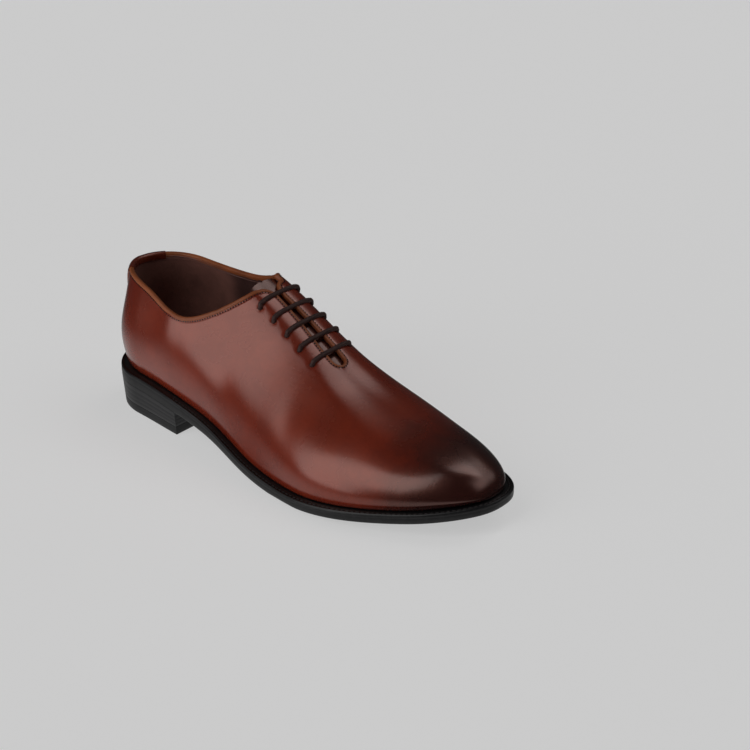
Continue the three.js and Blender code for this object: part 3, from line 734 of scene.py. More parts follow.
# %% [markdown]
# The heel tab is a short strip folded over the back of the collar and sewn down the back seam, which
# it hides. It could be two patches, but one sheet that runs from the inside over the edge and down
# the back, with a second one under it, gives a clean fold and an even thickness.

# %% Heel tab
TAB_HALF_WIDTH, TAB_FOOT_HALF_WIDTH, TAB_DROP, TAB_THICKNESS = 16, 5, 36, .95
TAB_START = 2.6
# Over the collar: away from the opening and out of the leather, from the inside to the outside
TAB_OVER = [
    (3.4, -3.15), (1.2, -3.2), (-.4, -2.95), (-1.1, -2.0), (-1.2, -.9), (-.9, .2), (.3, .85), (1.6, 1.0)]
TAB_UNDER = [
    (3.4, -2.3), (1.2, -2.5), (-.1, -2.3), (-.5, -1.8), (-.6, -.9), (-.4, -.1), (.5, .15), (1.6, .05)]


def chamfered(rows, times):
    """An open line with its corners cut off again and again, its ends kept."""
    line = np.array(rows, float)
    for _ in range(times):
        near, far = line[:-1] * .75 + line[1:] * .25, line[:-1] * .25 + line[1:] * .75
        line = np.vstack([line[:1], np.stack([near, far], 1).reshape(-1, 2), line[-1:]])
    return line


def rim_step(index):
    """Place and directions of the opening's edge at a step that needn't be whole."""
    low = int(math.floor(index))
    part = index - low
    low, high = low % len(rim_line), (low + 1) % len(rim_line)
    blend = lambda values: values[low] * (1 - part) + values[high] * part
    return blend(rim_line), unit(blend(rim_away)), unit(blend(rim_out))


tab_steps = TAB_HALF_WIDTH * 2.35 * np.sin(np.linspace(-1, 1, 61) * math.pi / 2)
while abs(rim_step(tab_steps[-1])[0][1] - rim_line[0, 1]) > TAB_HALF_WIDTH:
    tab_steps = tab_steps * .99
tab_reach = np.array([abs(rim_step(step)[0][1] - rim_line[0, 1]) for step in tab_steps])
tab_share = np.zeros(len(tab_steps))
for side, part in ((MEDIAL, tab_steps < 0), (LATERAL, tab_steps > 0)):
    reached = lambda s: np.abs(last_point(s * .2, opening_up(s * .2, side), side)[..., 1] - rim_line[0, 1])
    tab_share[part] = find_up(reached, tab_reach[part], tab_reach[part].shape) * .2
tab_taper = np.clip((TAB_HALF_WIDTH - tab_reach) / (TAB_HALF_WIDTH - TAB_FOOT_HALF_WIDTH), 0, 1)


def tab_sheet(over, lift):
    """Columns of points over the collar and down the back, from one side to the other."""
    columns = []
    for step, share, taper in zip(tab_steps, tab_share, tab_taper):
        place, away, out = rim_step(step)
        side = LATERAL if step > 0 else MEDIAL
        drops = np.linspace(TAB_START, TAB_START + (TAB_DROP - TAB_START) * taper ** 1.4, 30)
        shares = np.full(drops.shape, share)
        ups = find_up(lambda u: last_point(shares, u, side)[..., 2], place[2] - drops, drops.shape)
        wrap = place + over[:, :1] * away + over[:, 1:] * out
        columns.append(np.vstack([wrap, last_point(shares, ups, side, -lift)]))
    return np.array(columns)


outer_over, inner_over = chamfered(TAB_OVER, 2), chamfered(TAB_UNDER, 2)
outer_sheet, inner_sheet = tab_sheet(outer_over, TAB_THICKNESS + .05), tab_sheet(inner_over, .02)
shell = np.concatenate([outer_sheet, inner_sheet[:, ::-1]], 1)
shell = np.concatenate([shell, shell[:, :1]], 1)
tab = Skin().add(shell, flip=True)
for end, flip in ((0, True), (-1, False)):
    tab.add(np.stack([outer_sheet[end], inner_sheet[end]], 0), flip=flip)
tab = tab.make("heel_tab_leather", weld=1e-5, sharp=50)
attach(tab, "root")
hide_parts("heel_tab")
tell(tab)

# %% [markdown]
# One round waxed lace closes the throat in five straight bars. It comes up through one eyelet, lies
# over both facings, goes down through the other and runs along inside to the next pair. Its two
# ends stop inside at the top and the bottom pair, where the photograph shows none.

# %% Lace
# Depth of the hidden runs, and how far the bars stand off the leather (they press in a little)
LACE_HIDDEN, LACE_LIFT = 2.75, -.15
LACE_TAUT = .34
# out of the leather, and towards the throat: how the lace comes up through a hole
LACE_RISE = [(-3.0, -.5), (-1.7, -.35), (-.7, -.1), (.15, .45), (.9, 1.3)]
# share of its thickness that the lace keeps where the leather squeezes it
SQUEEZED_IN_HOLE, SQUEEZED_INSIDE = .45, .36


def lace_bar(index, side_from):
    """Points of one bar, from below the leather on one side to below it on the other."""
    radius = LACE_DIAMETER / 2
    places = {side: eyelet(index, side) for side in (LATERAL, MEDIAL)}
    rows = []
    for side in (LATERAL, MEDIAL):
        share, up, _, _ = places[side]
        ups = up + (1 - up) * np.array([.1, .2, .32, .45, .6, .78])
        rows.append(last_point(np.broadcast_to(share, ups.shape), ups, side, -(radius + LACE_LIFT)))
    over = np.vstack([rows[0], rows[1][::-1]])
    start, stop = over[0], over[-1]
    t = (np.linalg.norm(over - start, axis=1) / np.linalg.norm(stop - start))[:, None]
    chord = start + (stop - start) * np.clip(t, 0, 1)
    over = over * (1 - LACE_TAUT) + chord * LACE_TAUT
    line = []
    for side, first in ((LATERAL, over[0]), (MEDIAL, over[-1])):
        _, _, place, normal = places[side]
        inward = unit(first - place - normal * np.dot(first - place, normal))
        line.append([place + normal * out + inward * towards for out, towards in LACE_RISE])
    both = np.vstack([line[0], over, line[1][::-1]])
    return both if side_from == LATERAL else both[::-1]


route, flat = [], []
side = LATERAL
for i in range(EYELET_COUNT):
    bar = lace_bar(i, side)
    route += bar.tolist()
    flat += [SQUEEZED_IN_HOLE] + [1.0] * (len(bar) - 2) + [SQUEEZED_IN_HOLE]
    side = -side
    if i < EYELET_COUNT - 1:
        share = share_of([EYELET_FIRST + (i + f) * EYELET_PITCH for f in (.3, .5, .7)])
        up = up_at(share, side, THROAT_GAP / 2 + EYELET_INSET)
        hidden = last_point(share, up, side, LACE_HIDDEN)
        route += hidden.tolist()
        flat += [SQUEEZED_INSIDE] * 3


def rounded_line(points, values, step):
    """A smooth line through the points (Catmull-Rom), resampled at even steps."""
    p = np.vstack([2 * points[0] - points[1], points, 2 * points[-1] - points[-2]])
    v = np.concatenate([values[:1], values, values[-1:]])
    t = np.linspace(0, 1, 12, endpoint=False)[:, None]
    fine, kept = [], []
    for i in range(1, len(p) - 2):
        a, b, c, d = p[i - 1:i + 3]
        bend, twist = 2 * a - 5 * b + 4 * c - d, 3 * b - a - 3 * c + d
        fine.append(.5 * (2 * b + (c - a) * t + bend * t ** 2 + twist * t ** 3))
        kept.append(v[i] * (1 - t[:, 0]) + v[i + 1] * t[:, 0])
    return evenly(np.vstack(fine), step, False, (np.concatenate(kept)[:, None],))


lace_line, lace_flat, lace_at = rounded_line(np.array(route), np.array(flat), .3)
eyelet_normals = np.array([eyelet(i, side)[3] for i, side in EYELETS])
to_eyelets = np.linalg.norm(lace_line[:, None] - eyelet_places[None], axis=-1)
lace_normals = eyelet_normals[np.argmin(to_eyelets, axis=1)]
SIDES, BRAID_LENGTH, BRAID_DEPTH = 24, 4.2, .14
turn = np.linspace(0, 2 * np.pi, SIDES + 1)[None]
strand = lace_at[:, None] * 2 * np.pi / BRAID_LENGTH
braid = BRAID_DEPTH * np.abs(np.sin(strand + 2 * turn) * np.sin(strand - 2 * turn)) ** .6
grid, note = tube(lace_line, LACE_DIAMETER / 2 - .06 + braid, SIDES, squash=(lace_normals, lace_flat[:, 0]))
lace = capped(Skin(), grid, note).make("lace_braid")
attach(lace, "root")
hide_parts(*[f"lace_bar_{i + 1}" for i in range(EYELET_COUNT)])
print("lace:", round(float(lace_at[-1])), "mm long")
tell(lace)

# %% [markdown]
# Under the upper lies the welt, then the outsole, and under the seat the heel. All three are trimmed
# together, so their edge reads as one black face. Each is a stack of rings round the same outline:
# a row gives how far the ring stands in from the edge and how high it lies.

# %% Welt and outsole
RING = (1 - np.cos(np.pi * np.linspace(0, 1, 221))) / 2


def sole_ring(inset, height):
    """A ring round the sole; inset and height may change with x."""
    parts = []
    for side, shares in ((LATERAL, RING[:-1]), (MEDIAL, RING[:0:-1])):
        x0 = outline(shares, side, even(0.0))[0]
        depth = inset(x0) if callable(inset) else np.full(x0.shape, float(inset))
        x, y, _, _ = outline(shares, side, (depth, depth, depth))
        parts.append(np.stack([x, y, height(x)], -1))
    return np.vstack(parts)


def rim_width(x):
    """Width of the welt outside the upper."""
    ends = np.clip(x / 45, 0, 1), np.clip((SOLE_LENGTH - x) / 45, 0, 1)
    return RIM_HEEL + (RIM_SIDE - RIM_HEEL) * ends[0] + (RIM_TOE - RIM_SIDE) * (1 - ends[1])


def rings(rows):
    return np.array([sole_ring(*row) for row in rows])


def lid(skin, ring, flip):
    """Closes a ring from side to side."""
    n = len(ring)
    half = n // 2
    left, right = ring[:half + 1], np.vstack([ring[:1], ring[:half - 1:-1]])
    across = np.linspace(0, 1, 9)[None, :, None]
    skin.add(left[:, None] * (1 - across) + right[:, None] * across, flip=flip)


def under_welt(x):
    return seat(x) - WELT - SEAM_GAP


def tread(x):
    return np.maximum(0, under_welt(x) - OUTSOLE)


def crown(x):
    return SOLE_CROWN * smooth((x - HEEL_LENGTH) / HEEL_LENGTH)


# share of the rim's width in from the edge, height over the seat
WELT_ROWS = [
    (0, -2.5), (-.02, -1.6), (.0, -.75), (.04, -.28), (.10, .02), (.17, .06), (.24, -.10), (.30, -.42),
    (.38, -.62), (.50, -.66), (.62, -.62), (.74, -.50), (.88, -.42), (1.05, -.40), (1.5, -.30)]
WELT_UNDER_UPPER = 12.5
welt_rings = [(lambda x, s=s: s * rim_width(x), lambda x, h=h: seat(x) + h) for s, h in WELT_ROWS]
welt_rings += [
    (lambda x: rim_width(x) + WELT_UNDER_UPPER, lambda x: seat(x) - .3),
    (lambda x: rim_width(x) + WELT_UNDER_UPPER, lambda x: seat(x) - WELT),
    (0, lambda x: seat(x) - WELT)]
welt = Skin().add(rings(welt_rings).transpose(1, 0, 2), loop=True).make("welt_strip", sharp=35)
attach(welt, "root")
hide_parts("welt")
tell(welt)


def edge_low(x):
    return tread(x) + crown(x)


def turned(inset):
    """The lower edge is rounded in front of the heel and sharp where the heel continues it."""
    return lambda x: inset * smooth((x - HEEL_LENGTH + 1) / 8)


def sole_top(x):
    return under_welt(x) + SEAM_GAP * .9


# distance in from the edge, height; from the tread round the edge to the top
OUTSOLE_ROWS = [
    (24, tread), (15, tread), (8, lambda x: tread(x) + crown(x) * .22),
    (3.5, lambda x: tread(x) + crown(x) * .62), (turned(1.3), lambda x: tread(x) + crown(x) * .86),
    (turned(.75), lambda x: edge_low(x) + .02), (turned(.35), lambda x: edge_low(x) + .28),
    (turned(.08), lambda x: edge_low(x) + .72), (-.02, lambda x: edge_low(x) + 1.3),
    (-.08, lambda x: (edge_low(x) + 1.3) * .4 + under_welt(x) * .6),
    (-.04, lambda x: under_welt(x) - .1), (.0, sole_top), (6, sole_top)]
outsole = Skin()
sole_rings = rings(OUTSOLE_ROWS)
outsole.add(sole_rings.transpose(1, 0, 2), loop=True, flip=False)
lid(outsole, sole_rings[0], flip=True)
lid(outsole, sole_rings[-1], flip=False)
outsole = outsole.make("outsole_leather", sharp=40)
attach(outsole, "root")
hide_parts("outsole")
tell(outsole)

# %% [markdown]
# The heel is a stack of leather lifts, glued, nailed and sanded to one curve with a flat breast, and
# a rubber top lift under it. It is built as two blocks of rings, and a shallow groove in the rings
# marks each glue line, which is all that sanding and ink leave of it.

# %% Heel
HEEL_TAPER, TOP_PIECE = 1.2, 6


def heel_ring(height_share, height, inset=0.0):
    """Heel outline: the round back and a flat breast, drawn in towards the floor."""
    drawn = HEEL_TAPER * (1 - height_share) + inset
    t = (1 - np.cos(np.pi / 2 * np.linspace(0, 1, 61)))
    x = drawn + (HEEL_LENGTH - inset - drawn) * t
    middle = (edge[MEDIAL](x) - edge[LATERAL](x)) / 2
    half = ((edge[MEDIAL](x) + edge[LATERAL](x)) / 2 - drawn) * rounded(x - drawn, HEEL_END)
    left = np.stack([x, middle - half, height(x)], -1)
    right = np.stack([x, middle + half, height(x)], -1)
    front = left[-1] + (right[-1] - left[-1]) * np.linspace(0, 1, 14)[1:-1, None]
    return np.vstack([left, front, right[:0:-1]])


def heel_block(name, low, high, rows):
    """A block of lifts; rows hold (share of its height, how far in)."""
    skin = Skin()
    levels = []
    for share, inset in rows:
        level = lambda x, share=share: low(x) * (1 - share) + high(x) * share
        middle = float(level(np.array(30.0)))
        levels.append(heel_ring(min(middle / HEEL_HEIGHT, 1), level, inset))
    levels = np.array(levels)
    skin.add(levels.transpose(1, 0, 2), loop=True)
    for ring, flip in ((levels[0], False), (levels[-1], True)):
        fan = np.stack([np.vstack([ring, ring[:1]]), np.broadcast_to(ring.mean(0), (len(ring) + 1, 3))], 0)
        skin.add(fan, flip=flip)
    piece = skin.make(name, sharp=35)
    tell(piece)
    return piece


def flat_at(z):
    return lambda x: np.full(np.shape(x), float(z))


LIFTS, GROOVE = 4, .025
LIFT_ROWS = [(0, .1), (.015, 0)]
for k in range(1, LIFTS):
    LIFT_ROWS += [(k / LIFTS - .01, 0), (k / LIFTS, GROOVE), (k / LIFTS + .01, 0)]
LIFT_ROWS += [(.985, 0), (1, .2)]
TOP_LIFT_ROWS = [(0, .5), (.05, .12), (.1, 0), (.5, -.02), (.985, 0), (1, .1)]
heel_lifts = heel_block("heel_lifts", flat_at(TOP_PIECE + .12), lambda x: tread(x) - .1, LIFT_ROWS)
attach(heel_lifts, "root")
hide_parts("heel_stack")
top_lift = heel_block("heel_top_lift", flat_at(0), flat_at(TOP_PIECE), TOP_LIFT_ROWS)
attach(top_lift, "root")
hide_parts("heel_top_piece")

# %% [markdown]
# The sock lining is the soft sheet that the foot stands on. It covers the insole board inside the
# upper, with a rounded edge, so it takes the insole's place in the look of the shoe.

# %% Sock lining
# further in from the lining, height over the seat
SOCK_ROWS = [(0.0, .3), (.0, 2.0), (.25, 2.6), (.8, 2.9), (2.2, 2.95)]
SOCK_GAP, SOCK_TOE_GAP = .8, 7


def sock_inset(extra):
    """How far in from the sole's edge a ring of the sock lies, more so at the toe."""
    return lambda x: (rim_width(x) + UPPER_WALL + SOCK_GAP + extra
                      + SOCK_TOE_GAP * np.clip((x - 240) / 60, 0, 1))


sock = Skin()
sock_rings = rings([(sock_inset(extra), lambda x, h=h: seat(x) + h) for extra, h in SOCK_ROWS])
sock.add(sock_rings.transpose(1, 0, 2), loop=True)
lid(sock, sock_rings[0], flip=True)
lid(sock, sock_rings[-1], flip=False)
sock = sock.make("sock_lining", sharp=45)
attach(sock, "root")
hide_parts("insole")
tell(sock)

# %% [markdown]
# Colours are written as the sRGB hex values that a colour picker shows, and one function turns them
# to the linear values that a shader works in. A second function adds a node with its settings and
# links, and a few short ones name the nodes that every material uses.

# %% Colour and node helpers
def paint(code):
    """Linear colour of an sRGB hex value."""
    shares = [int(code[i:i + 2], 16) / 255 for i in (0, 2, 4)]
    return tuple([s / 12.92 if s <= .04045 else ((s + .055) / 1.055) ** 2.4 for s in shares] + [1.0])


def node(tree, kind, inputs=None, **settings):
    """Adds a node; inputs maps a socket's name or number to a value or to another node's output."""
    made = tree.nodes.new(kind)
    for key, value in settings.items():
        setattr(made, key, value)
    for key, value in (inputs or {}).items():
        if isinstance(value, bpy.types.NodeSocket):
            tree.links.new(value, made.inputs[key])
        else:
            made.inputs[key].default_value = value
    return made


def noise(tree, place, scale, detail, rough):
    return node(tree, "ShaderNodeTexNoise", {
        "Vector": place, "Scale": scale, "Detail": detail, "Roughness": rough}).outputs["Fac"]


def remap(tree, value, low, high, start=0.0, stop=1.0, kind="LINEAR"):
    """Maps low..high to start..stop; kind SMOOTHSTEP makes both ends soft."""
    return node(tree, "ShaderNodeMapRange", {
        "Value": value, "From Min": low, "From Max": high, "To Min": start, "To Max": stop},
        interpolation_type=kind).outputs[0]


def blended(tree, share, first, second):
    return node(tree, "ShaderNodeMix", {0: share, 6: first, 7: second}, data_type="RGBA").outputs[2]


def maths(tree, operation, *values):
    return node(tree, "ShaderNodeMath", dict(enumerate(values)), operation=operation).outputs[0]


def bump(tree, strength, distance, height, under=None):
    """A bump of a height in metres, on top of another one if given."""
    inputs = {"Strength": strength, "Distance": distance, "Height": height}
    if under:
        inputs["Normal"] = under
    return node(tree, "ShaderNodeBump", inputs).outputs[0]


def new_material(name):
    """An empty material, its tree and the place on the piece in metres."""
    material = bpy.data.materials.new(name)
    material.use_nodes = True
    tree = material.node_tree
    tree.nodes.clear()
    return material, tree, node(tree, "ShaderNodeTexCoord").outputs["Object"]


def finish_with(tree, inputs):
    shader = node(tree, "ShaderNodeBsdfPrincipled", inputs)
    node(tree, "ShaderNodeOutputMaterial", {"Surface": shader.outputs[0]})


print("polished brown in linear:", [round(v, 4) for v in paint("5c2416")[:3]])

# %% [markdown]
# A sewn seam is one short stitch again and again along a line. Geometry Nodes lay them: the line
# is cut to even steps, a small rounded stitch is put on each step, turned along the line and up
# from the leather. The line carries that upward direction as an attribute of its points.

# %% Stitches
STITCH_INPUTS = {"Pitch": .0024, "Length": .0018, "Width": .0005, "Height": .0004, "Turn": 0.0}


def stitch_tree():
    """Geometry Nodes tree that sews stitches along a line."""
    tree = bpy.data.node_groups.new("stitches", "GeometryNodeTree")
    face = tree.interface
    face.new_socket("Geometry", in_out="INPUT", socket_type="NodeSocketGeometry")
    for label, size in STITCH_INPUTS.items():
        face.new_socket(label, in_out="INPUT", socket_type="NodeSocketFloat").default_value = size
    face.new_socket("Thread", in_out="INPUT", socket_type="NodeSocketMaterial")
    face.new_socket("Geometry", in_out="OUTPUT", socket_type="NodeSocketGeometry")
    given = node(tree, "NodeGroupInput").outputs
    line = node(tree, "GeometryNodeMeshToCurve", {"Mesh": given["Geometry"]})
    up = node(tree, "GeometryNodeInputNamedAttribute", {"Name": "up"}, data_type="FLOAT_VECTOR")
    along = node(tree, "GeometryNodeInputTangent")
    kept = node(tree, "GeometryNodeCaptureAttribute", {"Geometry": line.outputs["Curve"]})
    kept.capture_items.new("VECTOR", "up")
    tree.links.new(up.outputs["Attribute"], kept.inputs["up"])
    steps = node(tree, "GeometryNodeResampleCurve", {
        "Curve": kept.outputs["Geometry"], "Length": given["Pitch"]}, mode="LENGTH")
    facing = node(tree, "FunctionNodeAlignRotationToVector", {"Vector": along.outputs[0]}, axis="X")
    upright = node(tree, "FunctionNodeAlignRotationToVector", {
        "Rotation": facing.outputs[0], "Vector": kept.outputs["up"]}, axis="Z", pivot_axis="X")
    lean = node(tree, "ShaderNodeCombineXYZ", {"Z": given["Turn"]})
    leaning = node(tree, "FunctionNodeRotateRotation", {
        "Rotation": upright.outputs[0], "Rotate By": lean.outputs[0]}, rotation_space="LOCAL")
    seed = node(tree, "GeometryNodeMeshUVSphere", {"Segments": 8, "Rings": 5, "Radius": .5})
    size = node(tree, "ShaderNodeCombineXYZ", {
        "X": given["Length"], "Y": given["Width"], "Z": given["Height"]})
    put = node(tree, "GeometryNodeInstanceOnPoints", {
        "Points": steps.outputs[0], "Instance": seed.outputs["Mesh"], "Rotation": leaning.outputs[0],
        "Scale": size.outputs[0]})
    real = node(tree, "GeometryNodeRealizeInstances", {"Geometry": put.outputs[0]})
    shaded = node(tree, "GeometryNodeSetShadeSmooth", {"Geometry": real.outputs[0]})
    thread = node(tree, "GeometryNodeSetMaterial", {
        "Geometry": shaded.outputs[0], "Material": given["Thread"]})
    node(tree, "NodeGroupOutput", {"Geometry": thread.outputs[0]})
    return tree


STITCHES = stitch_tree()


def sew(name, line, up, thread, **sizes):
    """Stitches along a line of points in millimetres; returns the finished piece."""
    mesh = bpy.data.meshes.new(name)
    links = [(k, k + 1) for k in range(len(line) - 1)]
    mesh.from_pydata(((line + SHIFT) * MM).tolist(), links, [])
    mesh.attributes.new("up", "FLOAT_VECTOR", "POINT").data.foreach_set("vector", np.ravel(up))
    piece = bpy.data.objects.new(name, mesh)
    bpy.context.scene.collection.objects.link(piece)
    layer = piece.modifiers.new("stitches", "NODES")
    layer.node_group = STITCHES
    given = dict(sizes, Thread=thread)
    for item in STITCHES.interface.items_tree:
        if item.in_out == "INPUT" and item.name in given:
            layer[item.identifier] = given[item.name]
    sewn = piece.evaluated_get(bpy.context.evaluated_depsgraph_get())
    piece.data = bpy.data.meshes.new_from_object(sewn)
    piece.modifiers.clear()
    print(name + ":", len(piece.data.polygons), "faces")
    return piece


def stuck_to(piece, points):
    """The nearest places on a piece to points in millimetres, with the piece's directions there."""
    work = bmesh.new()
    work.from_mesh(piece.data)
    tree = BVHTree.FromBMesh(work)
    found = [tree.find_nearest(Vector((p + SHIFT) * MM)) for p in points]
    work.free()
    places = np.array([f[0] for f in found]) / MM - SHIFT
    return places, np.array([f[1] for f in found])


# %% [markdown]
# The upper is aniline calf, creamed and waxed by hand. The cream leaves a soft cloudy brown, the wax
# a thin glossy layer over it, and the toe is burnished almost black. Leather has an IOR near 1.5 and
# a roughness of 0.3 to 0.5; here the wax has filled it, so it is a little higher and smoother, and
# the wax film is a coat of its own. Pores lie 0.2 mm apart on real calf and are drawn at about
# 0.8 mm, so that they show. The eye sees a red brown that turns pale only where a light mirrors.

# %% Calf leather
# Metres along the shoe from its middle, where the burnish of the toe starts and where it is full
BURNISH_START, BURNISH_FULL, BURNISH_DRIFT = .094, .146, .045


def calf_leather(name, base, deep, burnt):
    material, tree, place = new_material(name)
    cloud = noise(tree, place, 38.0, 4.0, .55)
    fine = noise(tree, place, 420.0, 3.0, .6)
    browns = blended(tree, remap(tree, cloud, .36, .66), paint(base), paint(deep))
    along = node(tree, "ShaderNodeSeparateXYZ", {0: place}).outputs["X"]
    drift = maths(tree, "MULTIPLY_ADD", cloud, BURNISH_DRIFT, along)
    toward_toe = remap(tree, drift, BURNISH_START, BURNISH_FULL, kind="SMOOTHSTEP")
    burnish = blended(tree, toward_toe, browns, paint(burnt))
    speck = remap(tree, fine, .3, .7, .93, 1.06)
    toned = node(tree, "ShaderNodeHueSaturation", {"Value": speck, "Color": burnish}).outputs[0]
    pores = node(tree, "ShaderNodeTexVoronoi", {"Vector": place, "Scale": 1250.0, "Smoothness": .6},
                 feature="SMOOTH_F1").outputs["Distance"]
    grain = bump(tree, .10, .00012, pores)
    ripple = bump(tree, .10, .0003, fine, grain)
    finish_with(tree, {
        "Base Color": toned, "Roughness": remap(tree, cloud, .3, .7, .22, .3), "IOR": 1.6,
        "Specular IOR Level": 1.0, "Specular Tint": (1.0, .42, .31, 1.0), "Coat Weight": 1.0,
        "Coat Roughness": .14, "Coat IOR": 1.5, "Normal": ripple, "Coat Normal": ripple})
    return material


calf = calf_leather("calf_leather_waxed", "94321b", "822916", "351411")
# The tongue's calf is dark brown to near black: painted shade for the shade inside the throat.
tongue_calf_painted_shade = calf_leather("calf_leather_tongue_painted_shade", "4a1f18", "331410", "1c0d0c")
tab_calf = calf_leather("calf_leather_heel_tab", "8c3a22", "742a1a", "1c0d0c")
print("calf leathers:", calf.name, tongue_calf_painted_shade.name, tab_calf.name)

# %% [markdown]
# Inside is a thin vegetable-tanned lining, lighter in colour at the heel and darker further in. It has no
# wax film, so its roughness is higher (0.5, IOR 1.5) and the eye sees a soft dull brown with creases. The
# folded edge round the opening is the same kind of leather in orange-brown.

# %% Lining and binding leather
# Metres along the shoe from its middle: where the lighter colour at the heel ends, and the length of its
# blend
LIGHTER_HEEL_TO, LIGHTER_HEEL_FADE = -.1, .02


def lining_leather(name, lighter_tone, plain, rough, depth=.0003):
    material, tree, place = new_material(name)
    cloud = noise(tree, place, 60.0, 5.0, .6)
    # The first colour holds at the heel end and the second further forward, with a short soft blend; the
    # roughness is the same all over
    along = node(tree, "ShaderNodeSeparateXYZ", {0: place}).outputs["X"]
    zone = remap(tree, along, LIGHTER_HEEL_TO, LIGHTER_HEEL_TO + LIGHTER_HEEL_FADE, kind="SMOOTHSTEP")
    base = blended(tree, zone, paint(lighter_tone), paint(plain))
    speck = remap(tree, cloud, .3, .7, .75, 1.2)
    toned = node(tree, "ShaderNodeHueSaturation", {"Value": speck, "Color": base}).outputs[0]
    pores = node(tree, "ShaderNodeTexVoronoi", {"Vector": place, "Scale": 900.0},
                 feature="SMOOTH_F1").outputs["Distance"]
    folds = bump(tree, .3, .0006, cloud, bump(tree, .3, depth, pores))
    finish_with(tree, {"Base Color": toned, "Roughness": rough, "IOR": 1.5, "Normal": folds})
    return material


lining_calf = lining_leather("lining_leather_vegetable_tanned", "9c6b60", "573a36", .5)
sock_leather = lining_leather("sock_leather", "6b463d", "4a302d", .55)
bound_edge = lining_leather("binding_leather", "b5663c", "a85c36", .42, depth=.0001)
trim_edge = lining_leather("lining_edge_leather", "8a625a", "8a625a", .5, depth=.0001)
print("linings:", lining_calf.name, sock_leather.name, bound_edge.name, trim_edge.name)

# %% [markdown]
# The sole edge and the heel are trimmed together, inked black and burnished with hot wax. The ink
# hides the fibre (IOR 1.5, roughness 0.4) but the lifts of the heel still show as hair lines, so the
# eye sees a charcoal face with a soft sheen. The top lift is rubber: a thinner wax, a higher
# roughness, a faint moulded grain.

# %% Sole edge, heel and rubber
def inked_edge(name, colour, lighter_tone, rough, lines, coat):
    material, tree, place = new_material(name)
    stretched = node(tree, "ShaderNodeMapping", {"Vector": place, "Scale": (90.0, 90.0, 900.0)})
    fibre = noise(tree, stretched.outputs[0], 1.0, 4.0, .6)
    spots = noise(tree, place, 300.0, 4.0, .65)
    base = blended(tree, remap(tree, spots, .42, .74), paint(colour), paint(lighter_tone))
    dents = bump(tree, .25, .0002, spots, bump(tree, lines, .0002, fibre))
    finish_with(tree, {
        "Base Color": base, "Roughness": rough, "IOR": 1.5, "Coat Weight": coat,
        "Coat Roughness": .3, "Normal": dents})
    return material


sole_edge = inked_edge("sole_leather_inked", "161516", "242223", .4, .3, .25)
heel_edge = inked_edge("heel_lifts_inked", "19181a", "242224", .42, .22, .25)
rubber = inked_edge("heel_rubber", "181819", "212022", .5, .12, .15)
print("edges:", sole_edge.name, heel_edge.name, rubber.name)

# %% [markdown]
# The lace is waxed cotton, braided round: the braid is in the mesh, and the fibres of a strand are a
# fine bump. Cotton has an IOR near 1.5 and a roughness of 0.6 to 0.8; wax brings it down a little and
# a weak sheen gives the fuzz, so the eye sees dull strands with paler crests. Sewing thread is bonded
# nylon: smooth, dark, twisted.

# %% Lace and thread
def twisted_yarn(name, light, dark, rough, scale, sheen=.25):
    material, tree, place = new_material(name)
    threads = noise(tree, place, scale, 3.0, .7)
    base = blended(tree, remap(tree, threads, .35, .65), paint(dark), paint(light))
    finish_with(tree, {
        "Base Color": base, "Roughness": rough, "IOR": 1.5, "Sheen Weight": sheen,
        "Sheen Roughness": .5, "Sheen Tint": paint("8a6a62"),
        "Normal": bump(tree, .5, .0002, threads)})
    return material


cotton = twisted_yarn("waxed_cotton_lace", "573630", "2a1815", .55, 1600.0)
dark_thread = twisted_yarn("bonded_thread_dark", "170a08", "0b0504", .6, 2500.0, sheen=.05)
welt_thread = twisted_yarn("welt_thread_grey", "4a4646", "2a2829", .55, 2500.0)
print("yarns:", cotton.name, dark_thread.name, welt_thread.name)

# %% [markdown]
# Two seams show. A fine dark one holds the binding, close below it, all round the opening. A coarse
# grey one lies in the groove of the welt and stops where the heel begins. Real stitches are thinner
# than these by about a third, and are drawn so that they show.

# %% Seams
WELT_SEAM_START, WELT_SEAM_IN, WELT_SEAM_HEIGHT = 70, .46, -.40
seam_points, seam_up = stuck_to(upper, rim_line + rim_away * STITCH_IN * slim(rim_line[:, :1]))
loop_points = np.vstack([seam_points, seam_points[:1]])
loop_up = np.vstack([seam_up, seam_up[:1]])
opening_seam = sew("opening_stitches", loop_points + loop_up * .02, loop_up, dark_thread,
                   Pitch=.0019, Length=.0013, Width=.00095, Height=.0008, Turn=.14)
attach(opening_seam, "root")

welt_line = sole_ring(lambda x: WELT_SEAM_IN * rim_width(x), lambda x: seat(x) + WELT_SEAM_HEIGHT)
welt_line = np.roll(welt_line, len(welt_line) // 2, 0)
welt_line = welt_line[welt_line[:, 0] > WELT_SEAM_START]
welt_seam = sew("welt_stitches", welt_line, np.tile([0, 0, 1.0], (len(welt_line), 1)), welt_thread,
                Pitch=.0032, Length=.0027, Width=.00085, Height=.0007, Turn=.1)
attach(welt_seam, "root")

# %% [markdown]
# Each piece takes its one finish here, so that the whole shoe's dress can be read in one list. The
# stitches have had theirs from their own nodes.

# %% Dressing the pieces
def dress(piece, material):
    piece.data.materials.clear()
    piece.data.materials.append(material)


DRESSED = [
    (upper, calf), (lining, lining_calf), (binding, bound_edge), (bead, trim_edge),
    (tongue, tongue_calf_painted_shade), (tab, tab_calf), (lace, cotton), (welt, sole_edge),
    (outsole, sole_edge), (heel_lifts, heel_edge), (top_lift, rubber), (sock, sock_leather)]
for piece, material in DRESSED:
    dress(piece, material)
print("materials:", len(bpy.data.materials))

# %% [markdown]
# The shoe stands on a plain pale floor, larger than the picture. The floor glows a little, as paper
# on a light table does, so that it stays pale in the shade of the shoe. It is left out of mirror
# images: a soft glow from below in the world takes its place there.

